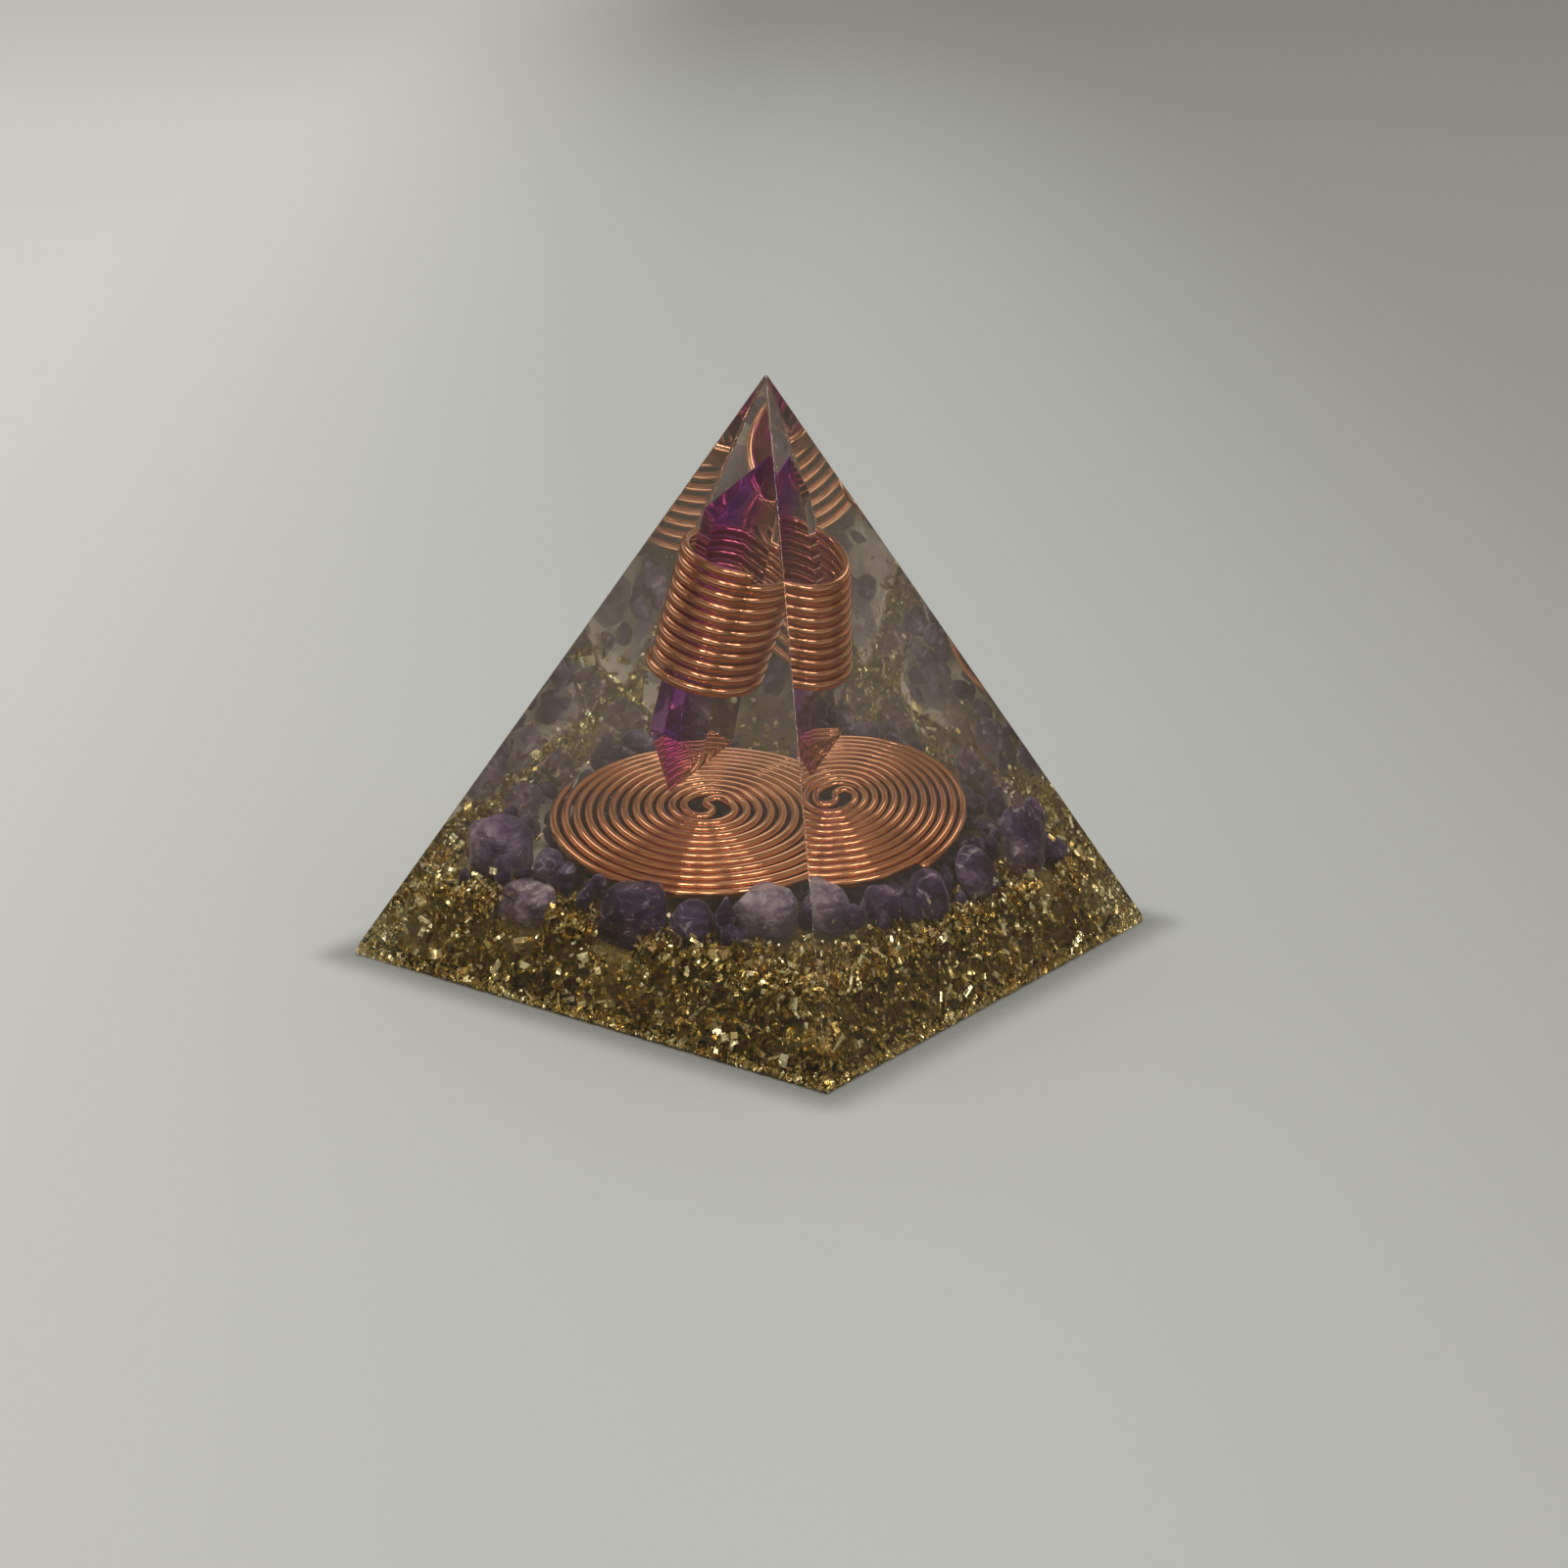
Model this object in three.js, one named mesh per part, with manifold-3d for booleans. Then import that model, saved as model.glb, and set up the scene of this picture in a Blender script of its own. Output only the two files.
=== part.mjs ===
// A clear cast pyramid that holds a leaning crystal point in a copper coil, a flat copper
// spiral, a bed of tumbled amethyst chips and a base of brass shavings set in resin.
// Millimetres, +Z up, origin at the middle of the flat underside.
// The left visible face of the photographed piece looks along -Y, the right one along +X.

import * as THREE from "three";
import { ConvexGeometry } from "three/addons/geometries/ConvexGeometry.js";
import { mergeVertices } from "three/addons/utils/BufferGeometryUtils.js";
import Module from "manifold-3d";

const wasm = await Module();
wasm.setup();

// Pyramid
const baseWidth = 76;
const sharpHeight = 76;
const edgeRadius = 0.35;
const footRadius = 0.6;
const tipRadius = 0.35;
const brassDepth = 9.5;

// Packed shavings inside the lower pour, and the clearer resin round, under and over them
const shavingsCover = 3.6;
const shavingsFoot = 0.9;
const shavingsRoof = 0.9;
const shavingsCorner = 2;

// Room left round every piece that is cast in
const clearance = 0.3;

// Copper wire, the same stock for the coil and the spiral
const wireDiameter = 1.2;

// Flat spiral of two arms that meet in an S at the middle
const spiralGap = 0.52;
const spiralBendRadius = 1.68;
const spiralArmSweep = 2047;
const spiralBarAngle = -20.6;
const spiralBed = 6.45;
const spiralDroop = 1.9;
const spiralTilt = 2.8;
const spiralOffsetX = 0;
const spiralOffsetY = -1.1;

// Crystal point, cut at both ends
const crystalLowRadius = 6.2;
const crystalHighRadius = 5.2;
const crystalLowTip = 9;
const crystalHighTip = 8;
const crystalCover = 10.6;
const crystalLeanX = 6.5;
const crystalLeanY = -1.1;
const crystalSeatX = -6.6;
const crystalSeatY = -1;
const crystalLowShiftX = 1.1;
const crystalLowShiftY = 0.8;
const crystalHighShiftX = 2.2;
const crystalHighShiftY = 1.5;
const crystalTurn = 12;
const crystalSides = 6;
const lowCornerShares = [1, 0.8, 1.1, 0.9, 1.15, 0.95];
const highCornerShares = [0.75, 0.8, 1, 1.1, 1.05, 0.85];

// Coil wound round the crystal
const coilGap = 0.45;
const coilTurns = 10.375;
const coilSlackLow = 0.9;
const coilSlackHigh = 2.6;
const coilCover = 3.4;
const coilLeanX = 10.5;
const coilLeanY = 2.7;
const coilTopEndAngle = -62;
const coilFlare = 0.9;
const coilFlareTurns = 0.8;

// Amethyst chips
const chipLength = 10;
const chipWidth = 8;
const chipHeight = 7;
const chipWallCover = 1;
const chipSquareness = 2.5;
const chipFlats = 4;
const chipFlatShare = 0.84;
const chipDetail = 1;
// Place over half the base width, then length, width and height over the chip's, then turn
// and the share of the brass that the chip is sunk through
const rimChipShares = [
  [-0.600, -0.570, 1.25, 1.25, 1.35, 0.10, 0.20],
  [-0.365, -0.755, 1.35, 0.75, 0.90, 0.00, 0.36],
  [-0.370, -0.560, 0.85, 0.80, 0.85, 0.30, 0.10],
  [0.040, -0.700, 1.30, 1.05, 1.50, 0.05, 0.44],
  [0.275, -0.690, 0.65, 0.80, 0.90, 0.20, 0.15],
  [0.480, -0.525, 1.05, 1.00, 1.15, 0.62, 0.12],
  [0.600, -0.290, 0.95, 0.70, 0.85, 0.27, 0.10],
  [0.700, -0.090, 0.90, 0.85, 1.00, 0.27, 0.12],
  [0.710, 0.210, 0.90, 0.80, 1.10, 0.22, 0.12],
  [0.690, 0.520, 1.05, 0.90, 1.95, 0.15, 0.42],
  [0.390, 0.650, 1.00, 0.95, 1.30, 0.05, 0.10],
  [0.090, 0.740, 1.00, 0.90, 1.20, 0.00, 0.08],
  [-0.190, 0.730, 0.95, 0.85, 1.00, 0.04, 0.08],
  [-0.440, 0.680, 0.90, 0.90, 1.40, 0.90, 0.12],
  [-0.690, 0.600, 0.90, 0.90, 1.55, 0.35, 0.15],
  [-0.710, 0.340, 0.95, 0.80, 1.10, 0.25, 0.10],
  [-0.730, 0.090, 0.95, 0.85, 1.25, 0.28, 0.12],
  [-0.730, -0.180, 0.90, 0.80, 1.00, 0.24, 0.10],
];
const bedSunkShare = 0.08;
// Rings under the spiral: radius over half the base width, chips, start angle
const bedRingShares = [[0.43, 10, 9], [0.185, 5, 40]];

// Steps of the wound forms and of the rounded corners
const stepsPerLoop = 24;
const wireSides = 6;
const cornerSteps = 2;
const roundSteps = 3;
const latheSteps = 36;
const domeSteps = 6;

const halfBase = baseWidth / 2;
const wireRadius = wireDiameter / 2;
const degrees = THREE.MathUtils.degToRad;

// Half the width of the sharp pyramid at a height
function halfWidthAt(z) {
  return halfBase * (1 - z / sharpHeight);
}

// Closed geometry to a solid for cuts
function solidOf(geometry) {
  const bare = geometry.clone();
  bare.deleteAttribute("normal");
  bare.deleteAttribute("uv");
  const merged = mergeVertices(bare);
  return new wasm.Manifold(new wasm.Mesh({
    numProp: 3,
    vertProperties: new Float32Array(merged.attributes.position.array),
    triVerts: new Uint32Array(merged.index.array),
  }));
}

// Solid back to a geometry
function geometryOf(solid) {
  const mesh = solid.getMesh();
  const geometry = new THREE.BufferGeometry();
  geometry.setAttribute("position", new THREE.BufferAttribute(mesh.vertProperties, 3));
  geometry.setIndex(new THREE.BufferAttribute(mesh.triVerts, 1));
  geometry.computeVertexNormals();
  return geometry;
}

// Skin over rings of equal counts, closed by a fan at each end
function loft(rings) {
  const count = rings[0].length;
  const points = rings.flat();
  const index = [];
  for (let ring = 0; ring + 1 < rings.length; ring += 1) {
    for (let side = 0; side < count; side += 1) {
      const next = (side + 1) % count;
      const low = ring * count;
      const high = low + count;
      index.push(low + side, low + next, high + next, low + side, high + next, high + side);
    }
  }
  const middleOf = (ring) => ring.reduce((sum, point) => sum.add(point), new THREE.Vector3())
    .divideScalar(count);
  const first = points.push(middleOf(rings[0])) - 1;
  const last = points.push(middleOf(rings[rings.length - 1])) - 1;
  const top = (rings.length - 1) * count;
  for (let side = 0; side < count; side += 1) {
    const next = (side + 1) % count;
    index.push(first, next, side, last, top + side, top + next);
  }
  const geometry = new THREE.BufferGeometry().setFromPoints(points);
  geometry.setIndex(index);
  geometry.computeVertexNormals();
  return geometry;
}

// Square with rounded corners, anticlockwise seen from above
function squareRing(half, corner, z) {
  const ring = [];
  for (let quarter = 0; quarter < 4; quarter += 1) {
    for (let step = 0; step <= cornerSteps; step += 1) {
      const angle = (quarter + step / cornerSteps) * Math.PI / 2;
      const middle = (quarter + 1 / 2) * Math.PI / 2;
      const reach = (half - corner) * Math.SQRT2;
      ring.push(new THREE.Vector3(
        reach * Math.cos(middle) + corner * Math.cos(angle),
        reach * Math.sin(middle) + corner * Math.sin(angle),
        z,
      ));
    }
  }
  return ring;
}

// Rings of the underside's rounded foot
function footRings() {
  const rings = [];
  for (let step = 0; step < roundSteps; step += 1) {
    const angle = (step / roundSteps) * Math.PI / 2;
    const inset = footRadius * (1 - Math.sin(angle));
    const rise = footRadius * (1 - Math.cos(angle));
    rings.push(squareRing(halfWidthAt(rise) - inset, edgeRadius + footRadius, rise));
  }
  return rings;
}

// Rings of the rounded tip, where a ball touches the four faces
function tipRings() {
  const slope = Math.atan2(halfBase, sharpHeight);
  const middle = sharpHeight - tipRadius / Math.sin(slope);
  const rings = [];
  for (let step = 0; step < roundSteps; step += 1) {
    const angle = slope + (Math.PI / 2 - slope) * (step / roundSteps);
    const radius = tipRadius * Math.cos(angle);
    rings.push(squareRing(radius, radius, middle + tipRadius * Math.sin(angle)));
  }
  return rings;
}

// Heap of packed shavings, grown by a gap for its pocket
function shavingsHeap(grown) {
  const low = shavingsFoot - grown;
  const high = brassDepth - shavingsRoof + grown;
  return loft([low, high].map((z) => (
    squareRing(halfWidthAt(z) - shavingsCover + grown, shavingsCorner + grown, z)
  )));
}

// Tube of flat-ended wire through points, with its sides set from a fixed up direction
function wireTube(points, up, radius) {
  const rings = points.map((point, at) => {
    const before = points[Math.max(at - 1, 0)];
    const after = points[Math.min(at + 1, points.length - 1)];
    const along = after.clone().sub(before).normalize();
    const across = new THREE.Vector3().crossVectors(up, along).normalize();
    const over = new THREE.Vector3().crossVectors(along, across);
    const ring = [];
    for (let side = 0; side < wireSides; side += 1) {
      const angle = (side / wireSides) * Math.PI * 2;
      ring.push(point.clone()
        .addScaledVector(across, radius * Math.cos(angle))
        .addScaledVector(over, radius * Math.sin(angle)));
    }
    return ring;
  });
  return loft(rings);
}

// Body turned from a profile of radii and heights
function turnedBody(profile) {
  return new THREE.LatheGeometry(profile, latheSteps).rotateX(Math.PI / 2);
}

// Least distance between stretches of one wire, from points to the spans between points
function leastGap(points, diameter) {
  const line = new THREE.Line3();
  const foot = new THREE.Vector3();
  const along = [0];
  for (let at = 1; at < points.length; at += 1) {
    along.push(along[at - 1] + points[at].distanceTo(points[at - 1]));
  }
  let least = Infinity;
  for (let at = 0; at < points.length; at += 1) {
    for (let other = at + 1; other + 1 < points.length; other += 1) {
      if (along[other] - along[at] > diameter * Math.PI) {
        line.set(points[other], points[other + 1]);
        line.closestPointToPoint(points[at], true, foot);
        least = Math.min(least, foot.distanceTo(points[at]));
      }
    }
  }
  return least - diameter;
}

// Spiral

const spiralPitch = wireDiameter + spiralGap;
const spiralReach = 2 * spiralBendRadius + spiralPitch * (spiralArmSweep / 180);
const spiralOuterRadius = spiralReach + wireRadius;
const spiralMiddleZ = brassDepth + spiralBed;

// Height of the spiral's wire centre over a place, from its dome and its tilt
function spiralHeightAt(x, y) {
  const away = Math.hypot(x - spiralOffsetX, y - spiralOffsetY) / spiralReach;
  const tilt = (y - spiralOffsetY) * Math.tan(degrees(spiralTilt));
  return spiralMiddleZ + tilt - spiralDroop * away ** 2;
}

// Upward normal of the spiral at a place
function spiralNormalAt(x, y) {
  const bend = 2 * spiralDroop / spiralReach ** 2;
  return new THREE.Vector3(
    bend * (x - spiralOffsetX),
    bend * (y - spiralOffsetY) - Math.tan(degrees(spiralTilt)),
    1,
  ).normalize();
}

// One arm as half circles that step out by one pitch, from the middle outwards
function spiralArm(turned) {
  const points = [];
  const halfLoop = stepsPerLoop / 2;
  const steps = Math.round((180 + spiralArmSweep) / (360 / stepsPerLoop));
  for (let step = 0; step <= steps; step += 1) {
    const half = Math.floor(step / halfLoop);
    const angle = Math.PI + (step / halfLoop) * Math.PI;
    const sign = half % 2 === 0 ? 1 : -1;
    const centre = half === 0 ? spiralBendRadius : sign * spiralPitch / 2;
    const radius = half === 0 ? spiralBendRadius : 2 * spiralBendRadius + spiralPitch * (half - 1 / 2);
    const x = centre + radius * Math.cos(angle);
    const y = -radius * Math.sin(angle);
    points.push(new THREE.Vector3(x, y, 0).applyAxisAngle(
      new THREE.Vector3(0, 0, 1),
      degrees(spiralBarAngle - 90) + turned,
    ));
  }
  return points;
}

function spiralPoints() {
  const points = [...spiralArm(Math.PI).reverse(), ...spiralArm(0).slice(1)];
  return points.map((point) => point.setZ(-spiralDroop * (point.length() / spiralReach) ** 2));
}

function placeSpiral(object) {
  object.position.set(spiralOffsetX, spiralOffsetY, spiralMiddleZ);
  object.rotation.x = degrees(spiralTilt);
}

// Round recess for the spiral: its windings lie closer than two clearances
function spiralRecess() {
  const radius = spiralOuterRadius + clearance;
  const thick = wireRadius + clearance;
  const lower = [];
  const upper = [];
  for (let step = 0; step <= domeSteps; step += 1) {
    const away = step / domeSteps;
    const z = -spiralDroop * (away * radius / spiralReach) ** 2;
    lower.push(new THREE.Vector2(away * radius, z - thick));
    upper.unshift(new THREE.Vector2(away * radius, z + thick));
  }
  return turnedBody([...lower, ...upper]);
}

// Crystal

const crystalSeatZ = spiralHeightAt(crystalSeatX, crystalSeatY) + wireRadius + clearance;
const crystalAxis = new THREE.Vector3(
  Math.tan(degrees(crystalLeanX)),
  Math.tan(degrees(crystalLeanY)),
  1,
).normalize();
const crystalLength = (sharpHeight - crystalCover - crystalSeatZ) / crystalAxis.z;

// Hull of two six-cornered rings and two tips set off the middle, grown by a gap for its pocket
function crystalGeometry(grown) {
  const tipGrowth = 2 * grown;
  const points = [
    new THREE.Vector3(0, 0, -tipGrowth),
    new THREE.Vector3(
      crystalLowShiftX + crystalHighShiftX,
      crystalLowShiftY + crystalHighShiftY,
      crystalLength + tipGrowth,
    ),
  ];
  for (let side = 0; side < crystalSides; side += 1) {
    const angle = degrees(crystalTurn) + (side / crystalSides) * Math.PI * 2;
    const corner = (radius, z) => new THREE.Vector3(
      crystalLowShiftX + (radius + grown / Math.cos(Math.PI / crystalSides)) * Math.cos(angle),
      crystalLowShiftY + (radius + grown / Math.cos(Math.PI / crystalSides)) * Math.sin(angle),
      z,
    );
    points.push(corner(crystalLowRadius, crystalLowTip * lowCornerShares[side]));
    points.push(corner(crystalHighRadius, crystalLength - crystalHighTip * highCornerShares[side]));
  }
  return new ConvexGeometry(points);
}

function placeCrystal(object) {
  object.position.set(crystalSeatX, crystalSeatY, crystalSeatZ);
  object.quaternion.setFromUnitVectors(new THREE.Vector3(0, 0, 1), crystalAxis);
}

// Middle of the crystal's body at a height
function crystalMiddleAt(z) {
  const rise = (z - crystalSeatZ) / crystalAxis.z;
  return new THREE.Vector3(crystalSeatX + crystalLowShiftX, crystalSeatY + crystalLowShiftY, crystalSeatZ)
    .addScaledVector(crystalAxis, rise);
}

// Coil

const coilPitch = wireDiameter + coilGap;
const coilHeight = coilPitch * coilTurns;
const coilLowRadius = crystalLowRadius + coilSlackLow + wireRadius;
const coilHighRadius = crystalHighRadius + coilSlackHigh + wireRadius;
const coilAxis = new THREE.Vector3(
  Math.tan(degrees(coilLeanX)),
  Math.tan(degrees(coilLeanY)),
  1,
).normalize();
const coilTopZ = sharpHeight * (1 - (coilHighRadius + wireRadius + coilCover) / halfBase);
const coilLowZ = coilTopZ - coilHeight * coilAxis.z;

// Radius of the coil's centre line at a count of turns up from its lower end
function coilRadiusAt(turn) {
  const base = coilLowRadius + (coilHighRadius - coilLowRadius) * (turn / coilTurns);
  const loose = Math.max(0, 1 - turn / coilFlareTurns);
  return base + coilFlare * loose ** 2;
}

function coilPoints() {
  const steps = coilTurns * stepsPerLoop;
  const points = [];
  for (let step = 0; step <= steps; step += 1) {
    const turn = step / stepsPerLoop;
    const angle = degrees(coilTopEndAngle) + (turn - coilTurns) * Math.PI * 2;
    const radius = coilRadiusAt(turn);
    points.push(new THREE.Vector3(radius * Math.cos(angle), radius * Math.sin(angle), coilPitch * turn));
  }
  const run = (from, to) => to.clone().sub(from).setLength(wireDiameter).add(to);
  const last = points.length - 1;
  return [run(points[1], points[0]), ...points, run(points[last - 1], points[last])];
}

function placeCoil(object) {
  object.position.copy(crystalMiddleAt(coilLowZ));
  object.quaternion.setFromUnitVectors(new THREE.Vector3(0, 0, 1), coilAxis);
}

// Round pocket for the coil, whose windings lie closer than two clearances
function coilPocket() {
  const thick = wireRadius + clearance;
  const bottom = -thick - coilPitch * (1 / stepsPerLoop);
  const top = coilHeight + thick + coilPitch * (1 / stepsPerLoop);
  return turnedBody([
    new THREE.Vector2(0, bottom),
    new THREE.Vector2(coilLowRadius + coilFlare + thick, bottom),
    new THREE.Vector2(coilLowRadius + coilFlare + thick, thick),
    new THREE.Vector2(coilRadiusAt(1) + thick, coilPitch + thick),
    new THREE.Vector2(coilHighRadius + thick, coilHeight - thick),
    new THREE.Vector2(coilHighRadius + thick, top),
    new THREE.Vector2(0, top),
  ]);
}

// Chips

const goldenAngle = Math.PI * (3 - Math.sqrt(5));

// Centre, half sizes and turn of each chip
function chipLayout() {
  const chips = rimChipShares.map(([x, y, long, wide, high, turn, sunk]) => ({
    x: halfBase * x,
    y: halfBase * y,
    half: new THREE.Vector3(chipLength * long, chipWidth * wide, chipHeight * high).divideScalar(2),
    turn: turn * Math.PI * 2,
    floor: brassDepth * (1 - sunk),
  }));
  bedRingShares.forEach(([radiusShare, count, start]) => {
    for (let at = 0; at < count; at += 1) {
      const angle = degrees(start) + (at / count) * Math.PI * 2;
      chips.push({
        x: halfBase * radiusShare * Math.cos(angle) + spiralOffsetX,
        y: halfBase * radiusShare * Math.sin(angle) + spiralOffsetY,
        half: new THREE.Vector3(chipLength, chipWidth, chipHeight).divideScalar(2),
        turn: angle + at * goldenAngle / 4,
        floor: brassDepth * (1 - bedSunkShare),
      });
    }
  });
  chips.forEach((chip) => {
    const away = Math.hypot(chip.x - spiralOffsetX, chip.y - spiralOffsetY);
    chip.under = away < spiralOuterRadius + clearance;
    const roof = chip.under
      ? spiralHeightAt(chip.x, chip.y) - wireRadius - clearance
      : chip.floor + 2 * chip.half.z;
    chip.centre = new THREE.Vector3(chip.x, chip.y, (chip.floor + roof) / 2);
    chip.roof = roof;
    chip.away = away;
  });
  return chips;
}

// Planes that a chip stays behind, as normals and distances from its centre
function chipLimits(chip, chips) {
  const limits = [{ normal: new THREE.Vector3(0, 0, -1), reach: chip.centre.z - chip.floor }];
  const slope = Math.atan2(halfBase, sharpHeight);
  for (let quarter = 0; quarter < 4; quarter += 1) {
    const turn = quarter * Math.PI / 2;
    const normal = new THREE.Vector3(
      Math.cos(turn) * Math.cos(slope),
      Math.sin(turn) * Math.cos(slope),
      Math.sin(slope),
    );
    const apex = new THREE.Vector3(0, 0, sharpHeight).sub(chip.centre);
    limits.push({ normal, reach: apex.dot(normal) - chipWallCover });
  }
  if (chip.under) {
    const normal = spiralNormalAt(chip.x, chip.y);
    limits.push({ normal, reach: (chip.roof - chip.centre.z) * normal.z });
  } else {
    const inwards = new THREE.Vector3(spiralOffsetX - chip.x, spiralOffsetY - chip.y, 0).normalize();
    limits.push({ normal: inwards, reach: chip.away - spiralOuterRadius - clearance });
  }
  chips.filter((other) => other !== chip).forEach((other) => {
    const between = other.centre.clone().sub(chip.centre);
    const own = chip.half.x + chip.half.y;
    const share = own / (own + other.half.x + other.half.y);
    limits.push({
      normal: between.clone().normalize(),
      reach: between.length() * share - clearance / 2,
    });
  });
  return limits;
}

// Flats that breaking and tumbling leave on a chip
function chipOwnFlats(number) {
  const flats = [];
  for (let flat = 0; flat < chipFlats; flat += 1) {
    const turn = (number * chipFlats + flat) * goldenAngle;
    const rise = Math.sin(number + flat * goldenAngle) / 2;
    const level = Math.sqrt(1 - rise ** 2);
    flats.push(new THREE.Vector3(level * Math.cos(turn), level * Math.sin(turn), rise));
  }
  return flats;
}

// Tumbled stone round its own centre, grown by a gap for its pocket
function chipGeometry(chip, number, limits, grown) {
  const ball = new THREE.IcosahedronGeometry(1, chipDetail);
  ball.deleteAttribute("normal");
  ball.deleteAttribute("uv");
  const stone = mergeVertices(ball);
  const position = stone.attributes.position;
  const flats = chipOwnFlats(number);
  const out = new THREE.Vector3();
  for (let at = 0; at < position.count; at += 1) {
    out.fromBufferAttribute(position, at).normalize();
    const along = Math.abs(out.x * Math.cos(chip.turn) + out.y * Math.sin(chip.turn)) / chip.half.x;
    const across = Math.abs(out.y * Math.cos(chip.turn) - out.x * Math.sin(chip.turn)) / chip.half.y;
    const upward = Math.abs(out.z) / chip.half.z;
    const sum = along ** chipSquareness + across ** chipSquareness + upward ** chipSquareness;
    let radius = sum ** (-1 / chipSquareness);
    flats.forEach((normal) => {
      const support = chip.half.clone().multiply(normal).length();
      const facing = normal.dot(out);
      if (facing > 0) radius = Math.min(radius, chipFlatShare * support / facing);
    });
    limits.forEach(({ normal, reach }) => {
      const facing = normal.dot(out);
      if (facing > 0) radius = Math.min(radius, reach / facing);
    });
    out.multiplyScalar(radius + grown);
    position.setXYZ(at, out.x, out.y, out.z);
  }
  stone.computeVertexNormals();
  return stone;
}

// Finishes
function resinFinish() {
  return new THREE.MeshStandardMaterial({
    color: 0xd9d8cf, roughness: 0.05, metalness: 0, transparent: true, opacity: 0.3,
  });
}

function brassFinish() {
  return new THREE.MeshStandardMaterial({ color: 0x7a5f28, roughness: 0.35, metalness: 0.7 });
}

function copperFinish() {
  return new THREE.MeshStandardMaterial({ color: 0xb8683f, roughness: 0.28, metalness: 1 });
}

function crystalFinish() {
  return new THREE.MeshStandardMaterial({
    color: 0x8f62a8, roughness: 0.08, metalness: 0, transparent: true, opacity: 0.6,
  });
}

function amethystFinish() {
  return new THREE.MeshStandardMaterial({ color: 0x5d4a72, roughness: 0.35, metalness: 0 });
}

// Solid of a cast-in piece, moved to where its mesh lies
function placedSolid(geometry, mesh) {
  mesh.updateMatrixWorld(true);
  return solidOf(geometry.clone().applyMatrix4(mesh.matrixWorld));
}

function namedMesh(name, geometry, material) {
  const mesh = new THREE.Mesh(geometry, material);
  mesh.name = name;
  return mesh;
}

const pyramid = new THREE.Group();

const spiralWire = spiralPoints();
const spiral = namedMesh(
  "flat_spiral",
  wireTube(spiralWire, new THREE.Vector3(0, 0, 1), wireRadius),
  copperFinish(),
);
placeSpiral(spiral);

const crystal = namedMesh("crystal_point", crystalGeometry(0), crystalFinish());
placeCrystal(crystal);

const coilWire = coilPoints();
const coil = namedMesh(
  "helix_coil",
  wireTube(coilWire, new THREE.Vector3(0, 0, 1), wireRadius),
  copperFinish(),
);
placeCoil(coil);

const chips = chipLayout();
const chipPockets = [];
chips.forEach((chip, at) => {
  const limits = chipLimits(chip, chips);
  const name = `amethyst_chip_${String(at + 1).padStart(2, "0")}`;
  const mesh = namedMesh(name, chipGeometry(chip, at, limits, 0), amethystFinish());
  mesh.position.copy(chip.centre);
  pyramid.add(mesh);
  chipPockets.push(placedSolid(chipGeometry(chip, at, limits, clearance), mesh));
});

// Everything that the resin was poured round
const hollow = [
  placedSolid(spiralRecess(), spiral),
  placedSolid(crystalGeometry(clearance), crystal),
  placedSolid(coilPocket(), coil),
  ...chipPockets,
].reduce((sum, solid) => sum.add(solid));

const partingRing = squareRing(halfWidthAt(brassDepth), edgeRadius, brassDepth);
const footTop = squareRing(halfWidthAt(footRadius), edgeRadius + footRadius, footRadius);
const footFade = squareRing(halfWidthAt(2 * footRadius), edgeRadius, 2 * footRadius);
const lowerPour = solidOf(loft([...footRings(), footTop, footFade, partingRing]));
const upperPour = solidOf(loft([partingRing, ...tipRings()]));
const heap = solidOf(shavingsHeap(0));
const heapPocket = solidOf(shavingsHeap(clearance));

pyramid.add(
  namedMesh("clear_casting", geometryOf(upperPour.subtract(hollow)), resinFinish()),
  namedMesh("brass_casting", geometryOf(lowerPour.subtract(hollow).subtract(heapPocket)), brassFinish()),
  namedMesh("packed_shavings", geometryOf(heap.subtract(hollow)), brassFinish()),
  spiral,
  crystal,
  coil,
);

console.log(`flat spiral: least gap to itself ${leastGap(spiralWire, wireDiameter).toFixed(2)} mm`);
console.log(`helix coil: least gap to itself ${leastGap(coilWire, wireDiameter).toFixed(2)} mm`);

export default pyramid;
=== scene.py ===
import math
import random

import bmesh
import bpy
import numpy as np
from mathutils import Matrix, Vector, noise
from mathutils.bvhtree import BVHTree


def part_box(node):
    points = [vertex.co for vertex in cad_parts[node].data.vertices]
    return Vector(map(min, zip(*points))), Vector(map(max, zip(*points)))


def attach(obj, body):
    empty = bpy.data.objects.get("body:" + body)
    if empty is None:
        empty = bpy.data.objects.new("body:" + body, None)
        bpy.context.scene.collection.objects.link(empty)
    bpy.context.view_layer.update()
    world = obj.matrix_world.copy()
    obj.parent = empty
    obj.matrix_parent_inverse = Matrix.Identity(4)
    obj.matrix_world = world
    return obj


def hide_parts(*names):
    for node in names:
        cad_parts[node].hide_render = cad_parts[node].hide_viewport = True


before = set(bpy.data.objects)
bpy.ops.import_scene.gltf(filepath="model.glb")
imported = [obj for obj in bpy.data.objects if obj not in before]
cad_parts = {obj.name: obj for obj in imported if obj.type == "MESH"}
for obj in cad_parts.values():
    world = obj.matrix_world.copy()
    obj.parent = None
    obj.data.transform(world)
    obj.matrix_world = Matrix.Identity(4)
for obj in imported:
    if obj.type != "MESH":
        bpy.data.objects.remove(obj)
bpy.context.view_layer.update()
print("frame loaded:", len(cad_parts), "nodes")

mm = 0.001
noise.seed_set(1)  # else its vectors differ from run to run


# Shader helpers

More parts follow.
